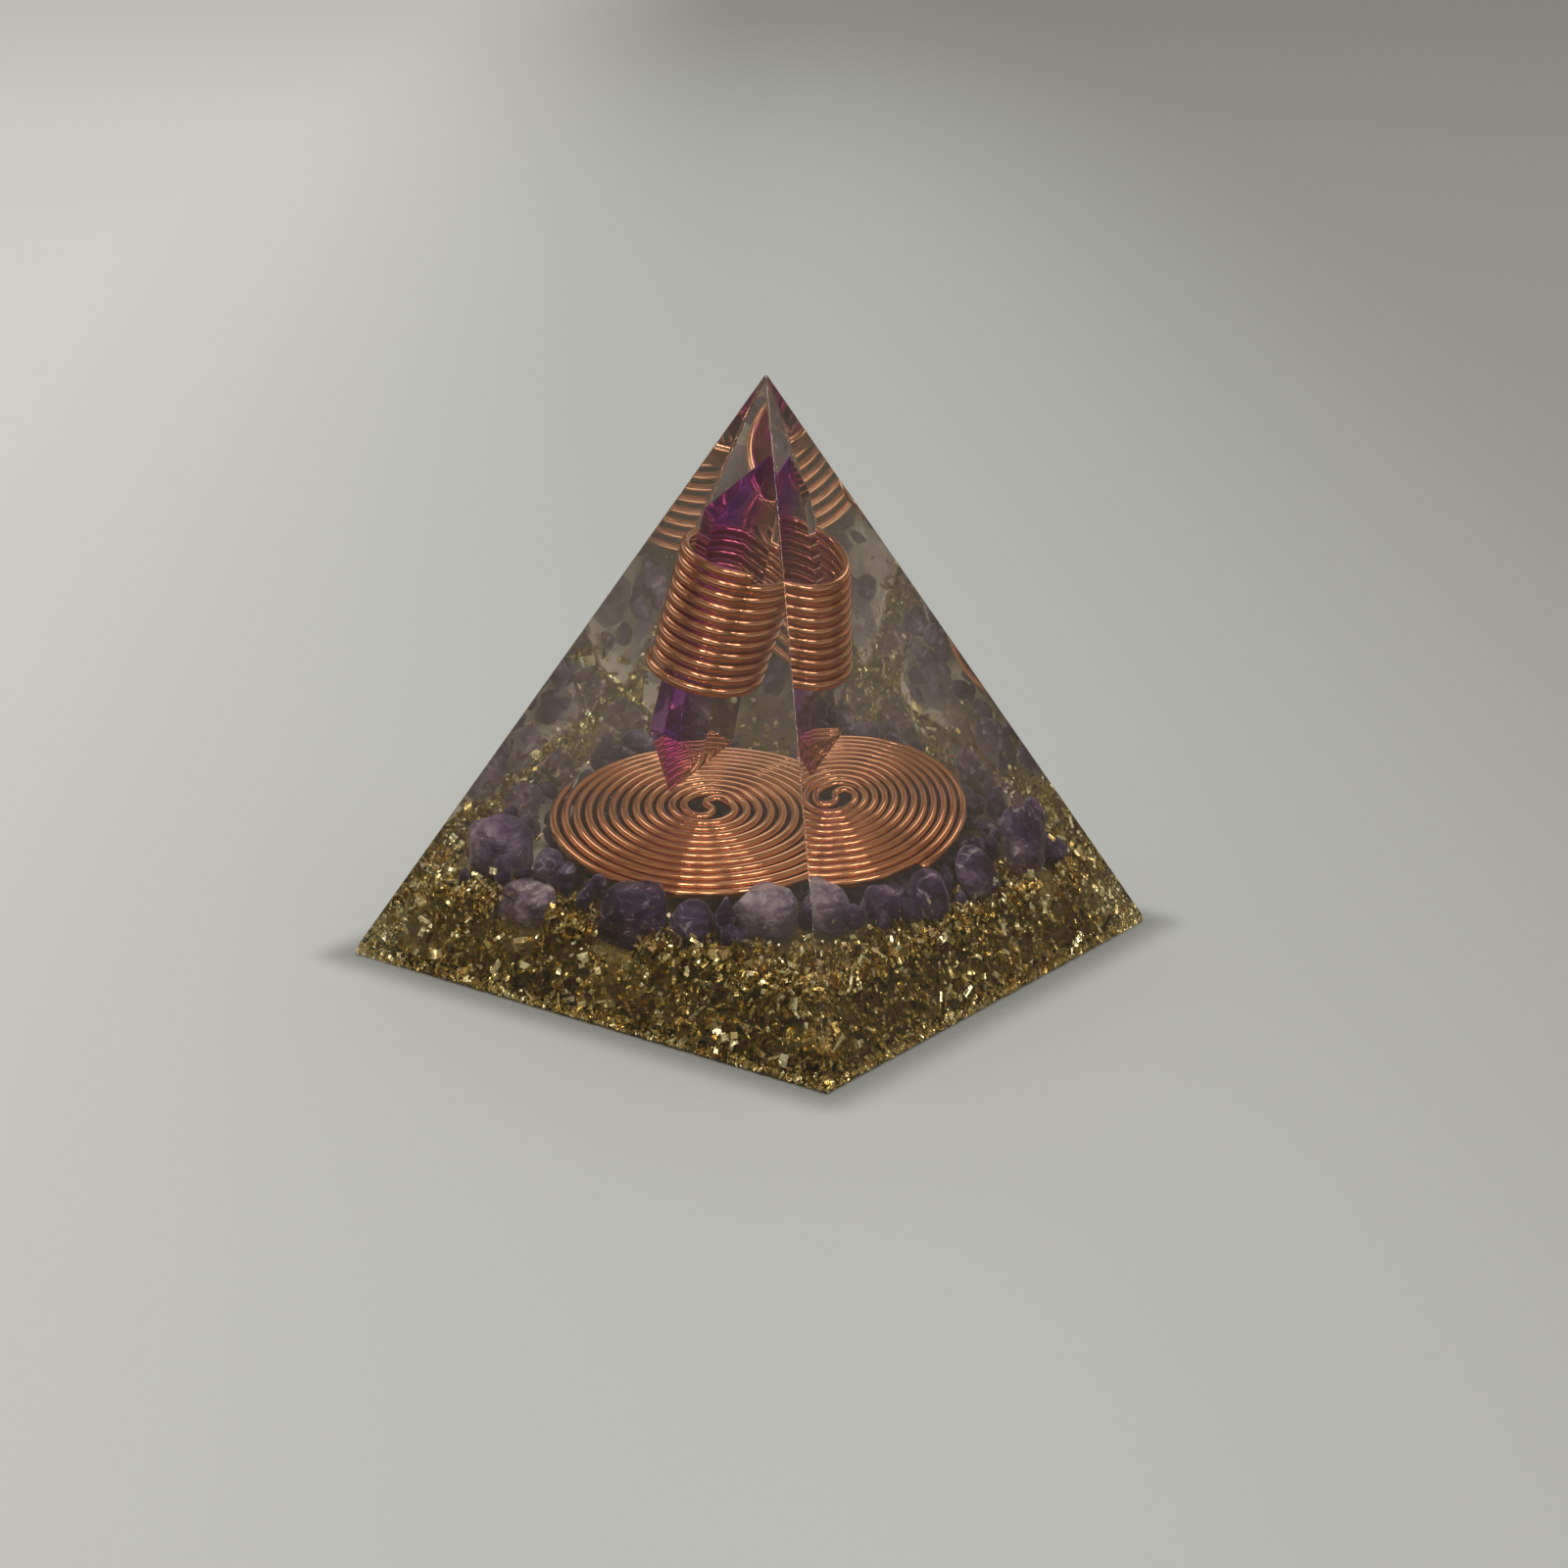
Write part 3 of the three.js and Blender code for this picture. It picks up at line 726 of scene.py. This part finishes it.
# small broken bits of the same stone, which lie in the gaps between the tumbled ones
def crumbPlaces(rng):
    trees = [treeOf(solid.data) for node, solid in sorted(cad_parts.items())
             if node.startswith("amethyst_chip_")]
    middle = Vector(spiral["middle"][:2])
    placed = []
    for _ in range(crumbs["tries"]):
        size = drawn(rng, crumbs["sizes"], crumbs["sizeFall"])
        z = pyramid["brassDepth"] + crumbs["sunk"] * size
        z += drawn(rng, (0, crumbs["pile"]), crumbs["pileFall"])
        half = halfWidthAt(z) - size - crumbs["faceFree"]
        spot = Vector((rng.uniform(-half, half), rng.uniform(-half, half), z))
        corner = math.hypot(halfBase - abs(spot.x), halfBase - abs(spot.y))
        least = crumbs["frontFree"] if spot.x > 0 > spot.y else crumbs["cornerFree"]
        if spot.xy.length < crumbs["from"] or corner < least:
            continue
        if spot.y - spot.x > crumbs["backFrom"] and rng.random() > crumbs["backShare"]:
            continue
        under, apart = crumbs["underWire"] * size, crumbs["nearest"]
        isUnder = (spot.xy - middle).length < spiralReach + wire["radius"] + under
        if isUnder and z > spiralHeightAt(spot.x, spot.y) - wire["radius"] - under:
            continue
        if any((spot - other).length < apart * (size + otherSize) for other, otherSize in placed):
            continue
        nearest = [tree.find_nearest(spot) for tree in trees]
        if any(away < apart * size or (spot - at).dot(normal) < 0 for at, normal, _, away in nearest):
            continue
        placed.append((spot, size))
        if len(placed) == crumbs["count"]:
            break
    return placed


def makeCrumbs(stonePaint):
    rng = np.random.default_rng(crumbs["seed"])
    ball = bmesh.new()
    bmesh.ops.create_icosphere(ball, subdivisions=3, radius=1.0)
    outward = np.array([v.co.normalized() for v in ball.verts])
    sides = [tuple(v.index for v in f.verts) for f in ball.faces]
    ball.free()
    vertices, faces, pale = [], [], []
    for spot, size in crumbPlaces(rng):
        reach = cutFlats(np.ones(len(outward)), outward, rng, crumbs["flatShares"])
        form = outward * (reach * size / reach.mean())[:, None] * rng.uniform(*crumbs["shapes"], 3)
        faces += [tuple(len(vertices) + i for i in side) for side in sides]
        vertices += list(form + np.array(spot))
        pale += [rng.uniform(*crumbs["pale"])] * len(outward)
    piece = addPiece("amethystCrumbs", vertices, faces, stonePaint)
    addShare(piece, "paleness", pale)
    addShare(piece, "clear", [crumbs["clear"]] * len(vertices))
    print("crumbs:", len(vertices) // len(outward))
    return settle(piece, "amethyst")


# Brass shavings

brass = {
    "seed": 5,
    "wallLayer": 8500,
    "wallDepth": 4.2 * mm,
    "wallGap": 0.35 * mm,
    "wallFall": 1.3,
    "shoulderLayer": 4200,
    "shoulderWidth": 9.0 * mm,
    "shoulderShares": (0.48, 0.02, 0.02, 0.48),
    "shoulderSink": 1.9 * mm,
    "topLayer": 250,
    "topSink": 2.2 * mm,
    "topRise": 0.9 * mm,
    "sinkFall": 1.2,
    "underLayer": 1300,
    "underHeights": (0.3 * mm, 1.1 * mm),
    "drifted": 180,
    "driftRise": 4.5 * mm,
    "driftInset": (0.5 * mm, 4.0 * mm),
    "rimLayer": 7000,
    "rimHeights": (0.22 * mm, 0.5 * mm),
    "rimInsets": (0.25 * mm, 3.65 * mm),
    "cornerFrom": 6.0 * mm,
    "cornerTo": 15.0 * mm,
    "cornerShare": 0.12,
    "rimCornerShare": 0.45,
    "sunkStones": (1, 2, 4, 10),
    "clearShare": 0.5,
    "lengths": (0.5 * mm, 2.2 * mm),
    "lengthFall": 2.2,
    "widths": (0.25 * mm, 0.95 * mm),
    "widthFall": 1.6,
    "bend": 2.2,
    "bentShare": 0.75,
    "toneShape": (0.6, 0.5),
    "spans": 4,
    "bigShare": 0.15,
    "bigTimes": 1.7,
    "bigPaintedGlint": 0.6,
    "floorTilt": 0.4,
    "floorLength": 0.5,
    "floorWidth": 0.6,
    "floorPaintedLight": 0.5,
    "cover": (0.2 * mm, 0.15 * mm),  # of resin, below and beside
    "bright": (0.88, 0.64, 0.22),
    "dull": (0.14, 0.09, 0.022),
    "pale": (1.0, 0.92, 0.62),
    "roughness": (0.12, 0.28),
}


def brassPaint():
    paint = newPaint("brassShavings")
    fine = paint.clouds(paint.place(), 2200.0, 2.0)
    colour = paint.ramp(paint.attribute("tone"), [
        (0.0, brass["dull"]), (0.55, brass["bright"]), (1.0, brass["pale"])])
    low, high = brass["roughness"]
    metal = paint.node("ShaderNodeBsdfPrincipled", {}, {
        "Base Color": colour, "Metallic": 1.0,
        "Roughness": paint.spread(fine, 0.3, 0.7, low, high)})
    return paint.finish(metal)


# "half" away from the middle towards a wall, and "along" it; works on arrays too
def onWall(half, along, z, turn):
    return (half * np.cos(turn) - along * np.sin(turn), half * np.sin(turn) + along * np.cos(turn), z)


# places of shavings: along the four walls, on top of the bed, on the floor of the mould,
# and a few that drifted up before the resin set
def shavingPlaces(rng):
    places = []
    depth, gap, rise = pyramid["brassDepth"], brass["wallGap"], brass["topRise"]
    walls = rng.integers(0, 4, brass["wallLayer"])
    for wall in walls:
        z = gap + (depth - gap) * rng.random()
        half = halfWidthAt(z) - drawn(rng, (gap, brass["wallDepth"]), brass["wallFall"])
        places.append(onWall(half, rng.uniform(-half, half), z, wall * math.pi / 2))
    for _ in range(brass["shoulderLayer"]):
        z = depth + rise - drawn(rng, (0, brass["shoulderSink"]), brass["sinkFall"])
        half = halfWidthAt(z) - gap - drawn(rng, (0, brass["shoulderWidth"]), brass["wallFall"])
        turn = rng.choice(4, p=brass["shoulderShares"]) * math.pi / 2
        places.append(onWall(half, rng.uniform(-half, half), z, turn))
    for _ in range(brass["topLayer"]):
        z = depth + rise - drawn(rng, (0, brass["topSink"]), brass["sinkFall"])
        half = halfWidthAt(z) - gap
        places.append((rng.uniform(-half, half), rng.uniform(-half, half), z))
    for _ in range(brass["underLayer"]):
        z = rng.uniform(*brass["underHeights"])
        half = halfWidthAt(z) - gap
        places.append((rng.uniform(-half, half), rng.uniform(-half, half), z))
    for _ in range(brass["drifted"]):
        z = depth + drawn(rng, (0, brass["driftRise"]), 2)
        half = halfWidthAt(z) - rng.uniform(*brass["driftInset"])
        turn = rng.integers(0, 4) * math.pi / 2
        places.append(onWall(half, rng.uniform(-half, half), z, turn))
    return np.array(places)


# for each stone that lies deep against a face: the places between it and that face
def beforeStones(places):
    for number in brass["sunkStones"]:
        low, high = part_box(f"amethyst_chip_{number:02d}")
        middle, half = (low + high) / 2, (high - low) / 2
        out = places - np.array(middle)
        deep, wide = (1, 0) if abs(middle.y) > abs(middle.x) else (0, 1)
        outward = out[:, deep] * math.copysign(1, middle[deep]) > 0
        across = (out[:, wide] / half[wide]) ** 2 + (out[:, 2] / half.z) ** 2
        yield deep, middle[deep], outward & (across < brass["clearShare"])


# which places lie towards the two side corners, and how far each is from the nearest corner
def sideCorners(places):
    room = np.hypot(halfBase - np.abs(places[:, 0]), halfBase - np.abs(places[:, 1]))
    return places[:, 0] * places[:, 1] > 0, room


# few shavings settle in the two side corners, and none before the sunk stones
def sparsePlaces(rng):
    places = shavingPlaces(rng)
    isSide, room = sideCorners(places)
    crowded = (room - brass["cornerFrom"]) / (brass["cornerTo"] - brass["cornerFrom"])
    crowded = np.clip(crowded, brass["cornerShare"], 1)
    kept = (rng.random(len(places)) < crowded) | ~isSide
    for _, _, hidden in beforeStones(places):
        kept &= ~hidden
    return places[kept]


# the finest shavings settle on the floor of the mould, out to its edge
def rimPlaces(rng):
    count = brass["rimLayer"]
    z = rng.uniform(*brass["rimHeights"], count)
    half = halfWidthAt(z) - drawn(rng, brass["rimInsets"], 2, count)
    along = rng.uniform(-1, 1, count) * half
    turn = rng.integers(0, 4, count) * math.pi / 2
    places = np.stack(onWall(half, along, z, turn), axis=1)
    isSide, room = sideCorners(places)
    kept = (rng.random(count) < brass["rimCornerShare"]) | (room > brass["cornerTo"]) | ~isSide
    return places[kept]


# size, bend, tone and turn of each shaving; those from "loose" on lie on the floor
def shavingForms(rng, count, loose):
    lengths = drawn(rng, brass["lengths"], brass["lengthFall"], count)
    widths = drawn(rng, brass["widths"], brass["widthFall"], count)
    bends = rng.uniform(-brass["bend"], brass["bend"], count) * (rng.random(count) < brass["bentShare"])
    tones = rng.beta(*brass["toneShape"], count)
    turns = rng.normal(size=(count, 4))
    big = rng.random(count) < brass["bigShare"]
    lengths[big] *= brass["bigTimes"]
    widths[big] *= brass["bigTimes"]
    # painted glint: big shavings are painted towards the pale end of the brass
    tones[big] = brass["bigPaintedGlint"] + (1 - brass["bigPaintedGlint"]) * tones[big]
    turns[loose:, 1:3] *= brass["floorTilt"]
    lengths[loose:] *= brass["floorLength"]
    widths[loose:] *= brass["floorWidth"]
    # painted light: shavings on the floor of the mould are painted paler, as if lit
    tones[loose:] = brass["floorPaintedLight"] + (1 - brass["floorPaintedLight"]) * tones[loose:]
    return lengths, widths, bends, tones, turns / np.linalg.norm(turns, axis=1)[:, None]


# strips bent to an arc, all lying along X; one row of points for each
def bentStrips(lengths, widths, bends):
    spans = brass["spans"]
    safe = np.where(np.abs(bends) < 1e-3, 1e-3, bends)
    strips = np.zeros((len(lengths), (spans + 1) * 2, 3))
    for step in range(spans + 1):
        share = step / spans - 0.5
        for side, edge in enumerate((-0.5, 0.5)):
            strips[:, step * 2 + side, 0] = lengths * np.sin(safe * share) / safe
            strips[:, step * 2 + side, 1] = edge * widths
            strips[:, step * 2 + side, 2] = lengths * (1 - np.cos(bends * share)) / safe
    return strips


# the turns are quaternions, w first
def rotated(strips, turns):
    w, a, b, c = turns.T
    rotation = np.array([
        [1 - 2 * (b * b + c * c), 2 * (a * b - c * w), 2 * (a * c + b * w)],
        [2 * (a * b + c * w), 1 - 2 * (a * a + c * c), 2 * (b * c - a * w)],
        [2 * (a * c - b * w), 2 * (b * c + a * w), 1 - 2 * (a * a + b * b)]]).transpose(2, 0, 1)
    return np.einsum("nij,nkj->nki", rotation, strips)


# a shaving that would stand out of the resin is pushed back in
def pushInside(strips):
    below, beside = brass["cover"]
    lift = np.maximum(0, below - strips[:, :, 2].min(axis=1))
    strips[:, :, 2] += lift[:, None]
    room = halfWidthAt(strips[:, :, 2]) - beside
    for axis in (0, 1):
        over = np.maximum(0, (strips[:, :, axis] - room).max(axis=1))
        under = np.maximum(0, (-strips[:, :, axis] - room).max(axis=1))
        strips[:, :, axis] += (under - over)[:, None]


def makeShavings():
    rng = np.random.default_rng(brass["seed"])
    places = sparsePlaces(rng)
    loose = len(places)
    places = np.concatenate([places, rimPlaces(rng)])
    count = len(places)
    lengths, widths, bends, tones, turns = shavingForms(rng, count, loose)
    strips = rotated(bentStrips(lengths, widths, bends), turns) + places[:, None, :]
    pushInside(strips)
    each = strips.shape[1]
    faces = [(at, at + 1, at + 3, at + 2) for first in range(0, count * each, each)
             for at in range(first, first + each - 2, 2)]
    piece = addPiece("brassShavings", strips.reshape(-1, 3), faces, brassPaint())
    addShare(piece, "tone", np.repeat(tones, each))
    print("brass shavings:", count)
    return settle(piece, "brass_resin")


core = {
    "inset": 3.6 * mm,
    "foot": 0.5 * mm,
    "top": 8.6 * mm,
    "corner": 4.5 * mm,
    "cornerSteps": 6,
    "levels": 9,
    "lumps": 0.8 * mm,
    "lumpRun": 2.5 * mm,
    "leastHeight": 0.2 * mm,
    "colours": [(0.3, (0.05, 0.034, 0.012)), (0.5, (0.12, 0.08, 0.022)), (0.68, (0.38, 0.26, 0.07))],
    # painted light: a pale top painted round the spiral
    "paintedPaleTop": (0.56, 0.50, 0.45),
    "paintedPaleTopShade": (0.49, 0.43, 0.39),
    "paleTopFrom": 21.5 * mm,
    "paleTopReach": (9.0 * mm, 21.0 * mm),
    "paleTopWall": (-12.0 * mm, 26.0 * mm),
    "paleTopDepth": 1.2 * mm,
}


def corePaint():
    paint = newPaint("packedBrass")
    where = paint.place()
    grains = paint.clouds(where, 900.0, 4.0, 0.7, 0.8)
    large = paint.clouds(where, 120.0, 2.0)
    colour = paint.ramp(grains * 0.7 + large * 0.3, core["colours"])
    # painted light: the top of the mass round the spiral is painted pale, in patches, away from the -Y and
    # +X faces
    x, y, z = [paint.axis(where, name) for name in "XYZ"]
    (reachX, reachY), (wallX, wallY) = core["paleTopReach"], core["paleTopWall"]
    room = paint.maths("MINIMUM", reachX - x, y + reachY)
    room = paint.maths("MINIMUM", room, paint.maths("MAXIMUM", wallX - x, wallY - y))
    away = paint.vectors("LENGTH", paint.vectors("MULTIPLY", where, (1.0, 1.0, 0.0)), output="Value")
    paleTop = paint.spread(z, core["top"] - core["paleTopDepth"], core["top"] - 0.2 * mm) \
        * paint.spread(room, 0.0, 5 * mm) * paint.spread(away, core["paleTopFrom"], core["paleTopFrom"] + 3 * mm)
    paintedPaleTop = paint.ramp(large, [(0.35, core["paintedPaleTopShade"]), (0.65, core["paintedPaleTop"])])
    mass = paint.node("ShaderNodeBsdfPrincipled", {}, {
        "Base Color": paint.blend(paleTop, colour, paintedPaleTop),
        "Roughness": paint.spread(grains, 0.3, 0.7, 0.4, 0.65),
        "Normal": paint.bump(grains, 0.8, 0.4 * mm)})
    return paint.finish(mass)


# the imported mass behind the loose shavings
def makeCore():
    foot, top, levels = core["foot"], core["top"], core["levels"]
    rings = []
    for level in range(levels):
        z = foot + (top - foot) * level / (levels - 1)
        rings.append(squareRing(halfWidthAt(z) - core["inset"], core["corner"], z, core["cornerSteps"]))
    vertices, faces = skin(rings)
    piece = addPiece("packedBrass", vertices, faces, corePaint(), smooth=False)
    shape = bmesh.new()
    shape.from_mesh(piece.data)
    bmesh.ops.triangulate(shape, faces=shape.faces)
    bmesh.ops.subdivide_edges(shape, edges=[e for e in shape.edges if e.calc_length() > 2 * mm],
                              cuts=3, use_grid_fill=True)
    for vert in shape.verts:
        vert.co += noise.noise_vector(vert.co / core["lumpRun"]) * core["lumps"]
        vert.co.z = max(vert.co.z, core["leastHeight"])
    # the mass is dented where a stone is pressed into it
    places = np.array([vert.co for vert in shape.verts])
    for deep, depth, hidden in beforeStones(places):
        for vert, inside in zip(shape.verts, hidden):
            if inside:
                vert.co[deep] = depth
    shape.to_mesh(piece.data)
    shape.free()
    return settle(piece, "brass_resin", "packed_shavings")


# Stage

stage = {
    "floorSize": 8.0,
    "floorGap": 0.05 * mm,
    # painted light: the floor is painted lighter near the object and darker far off
    "near": (0.307, 0.313, 0.297),
    "far": (0.222, 0.224, 0.207),
    "fadeFrom": 0.5,
    "fadeTo": 1.9,
    # painted light and shade: lighter towards the -X -Y side, darker towards +X +Y
    "paintedLightSide": (-0.81, -0.59, 0.0),
    "sideReach": 0.22,
    "bright": (0.445, 0.447, 0.421),
    "paintedShade": (0.202, 0.204, 0.188),
    # painted contact shadow on the floor round the base
    "paintedContactShadow": 0.55,
    "paintedShadowReach": 6.5 * mm,
    "paintedShadowColour": (0.05, 0.048, 0.042),
    "grain": 0.10,
    "grainColour": (0.3, 0.3, 0.28),
    "light": 1.0,
    "horizon": (0.28, 0.28, 0.28),
    "middle": (0.70, 0.695, 0.685),
    "zenith": (1.70, 1.685, 1.64),
    "seen": (0.40, 0.40, 0.365),
    "mirrored": (0.20, 0.17, 0.12),
}


def floorPaint():
    paint = newPaint("paleFloor")
    where = paint.place()
    away = paint.vectors("LENGTH", where, output="Value")
    across = paint.vectors("DOT_PRODUCT", where, stage["paintedLightSide"], output="Value")
    # painted light and shade: lighter near the object and towards -X -Y, darker far off and towards +X +Y
    colour = paint.blend(paint.spread(away, stage["fadeFrom"], stage["fadeTo"]), stage["near"], stage["far"])
    colour = paint.blend(paint.spread(across, 0.0, stage["sideReach"]), colour, stage["bright"])
    colour = paint.blend(paint.spread(across, 0.0, -stage["sideReach"]), colour, stage["paintedShade"])
    # painted contact shadow: the floor is painted darker right beside the object
    sides = [paint.maths("ABSOLUTE", paint.axis(where, name)) for name in "XY"]
    beyond = [paint.maths("MAXIMUM", side - halfBase, 0.0) for side in sides]
    beside = (beyond[0] * beyond[0] + beyond[1] * beyond[1]) ** 0.5
    shade = paint.spread(beside, 0.0, stage["paintedShadowReach"], stage["paintedContactShadow"], 0.0)
    colour = paint.blend(shade, colour, stage["paintedShadowColour"])
    grain = paint.spread(paint.clouds(where, 900.0, 3.0, 0.7), 0.35, 0.65, 0.0, stage["grain"])
    return paint.finish(paint.node("ShaderNodeBsdfPrincipled", {}, {
        "Base Color": paint.blend(grain, colour, stage["grainColour"]), "Roughness": 0.7,
        "Specular IOR Level": 0.15}))


# what is seen and mirrored is a plain grey room; what lights the object is brighter overhead
def makeRoom():
    world = bpy.data.worlds.new("softRoom")
    bpy.context.scene.world = world
    paint = Paint(world)
    mirrored = paint.ray("Is Glossy Ray")
    seen = paint.node("ShaderNodeClamp", {}, {"Value": paint.ray("Is Camera Ray") + mirrored})
    upward = paint.axis(paint.place("Generated"), "Z")
    soft = paint.ramp(upward, [(0.0, stage["horizon"]), (0.35, stage["middle"]), (1.0, stage["zenith"])])
    light = paint.node("ShaderNodeBackground", {}, {"Color": soft, "Strength": stage["light"]})
    room = paint.blend(mirrored, stage["seen"], stage["mirrored"])
    shown = paint.node("ShaderNodeBackground", {}, {"Color": room, "Strength": 1.0})
    paint.finish(paint.mixed(seen, light, shown))


def makeStage():
    half, z = stage["floorSize"] / 2, -stage["floorGap"]
    corners = [(-half, -half, z), (half, -half, z), (half, half, z), (-half, half, z)]
    floor = addPiece("floor", corners, [(0, 1, 2, 3)], floorPaint(), smooth=False)
    makeRoom()


lamps = {
    "aim": (0.0, 0.0, 0.02),
    "each": [
        # name, azimuth from -Y towards +X, height angle, distance, size, watts, colour
        ("keyLamp", 70.0, 52.0, 1.1, 0.34, 1.85, (1.0, 0.96, 0.90)),
        ("sideLamp", 26.0, 66.0, 1.2, 0.24, 2.8, (1.0, 0.98, 0.95)),
        ("backLamp", 222.0, 48.0, 1.4, 0.9, 3.2, (0.95, 0.98, 1.0)),
    ],
}


def makeLamps():
    for name, azimuth, height, distance, size, watts, colour in lamps["each"]:
        around, up = math.radians(azimuth), math.radians(height)
        towards = Vector((math.sin(around) * math.cos(up), -math.cos(around) * math.cos(up), math.sin(up)))
        light = bpy.data.lights.new(name, "AREA")
        light.shape, light.size, light.energy, light.color = "DISK", size, watts, colour
        lamp = addObject(name, light)
        lamp.location = Vector(lamps["aim"]) + towards * distance
        lamp.rotation_euler = towards.to_track_quat("Z", "Y").to_euler()


camera = {
    "place": (0.230928, -0.319842, 0.147051),
    "turn": (72.34494, -0.97702, 35.67700),
    "lens": 72.3318,
    "sensor": 36.0,
    "clips": (0.01, 100.0),
}


def makeCamera():
    data = bpy.data.cameras.new("photoCamera")
    data.lens, data.sensor_width = camera["lens"], camera["sensor"]
    data.clip_start, data.clip_end = camera["clips"]
    seat = addObject("photoCamera", data)
    seat.location = camera["place"]
    seat.rotation_euler = [math.radians(angle) for angle in camera["turn"]]
    bpy.context.scene.camera = seat


bpy.context.scene.view_settings.view_transform = "Standard"
makeCamera()
makeStage()
makeLamps()
print("stage, lamps and camera ready")

# the spiral's copper is painted brighter than the coil's, as painted light
makeSpiral(copperPaint("spiralCopperPaintedLit", wire["spiralPaintedLitColour"], wire["spiralTarnishAndPaintedLight"]))
makeCoil(copperPaint("coilCopper", wire["coilColour"], wire["coilTarnish"]))
makeCrystal()
print("copper and crystal ready")

stonePaint = amethystPaint()
for node in sorted(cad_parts):
    if node.startswith("amethyst_chip_"):
        makeStone(node, int(node[-2:]), stonePaint)
makeCrumbs(stonePaint)
print("stones ready")

makeShavings()
makeCore()
makeResin()
print("brass and resin ready")
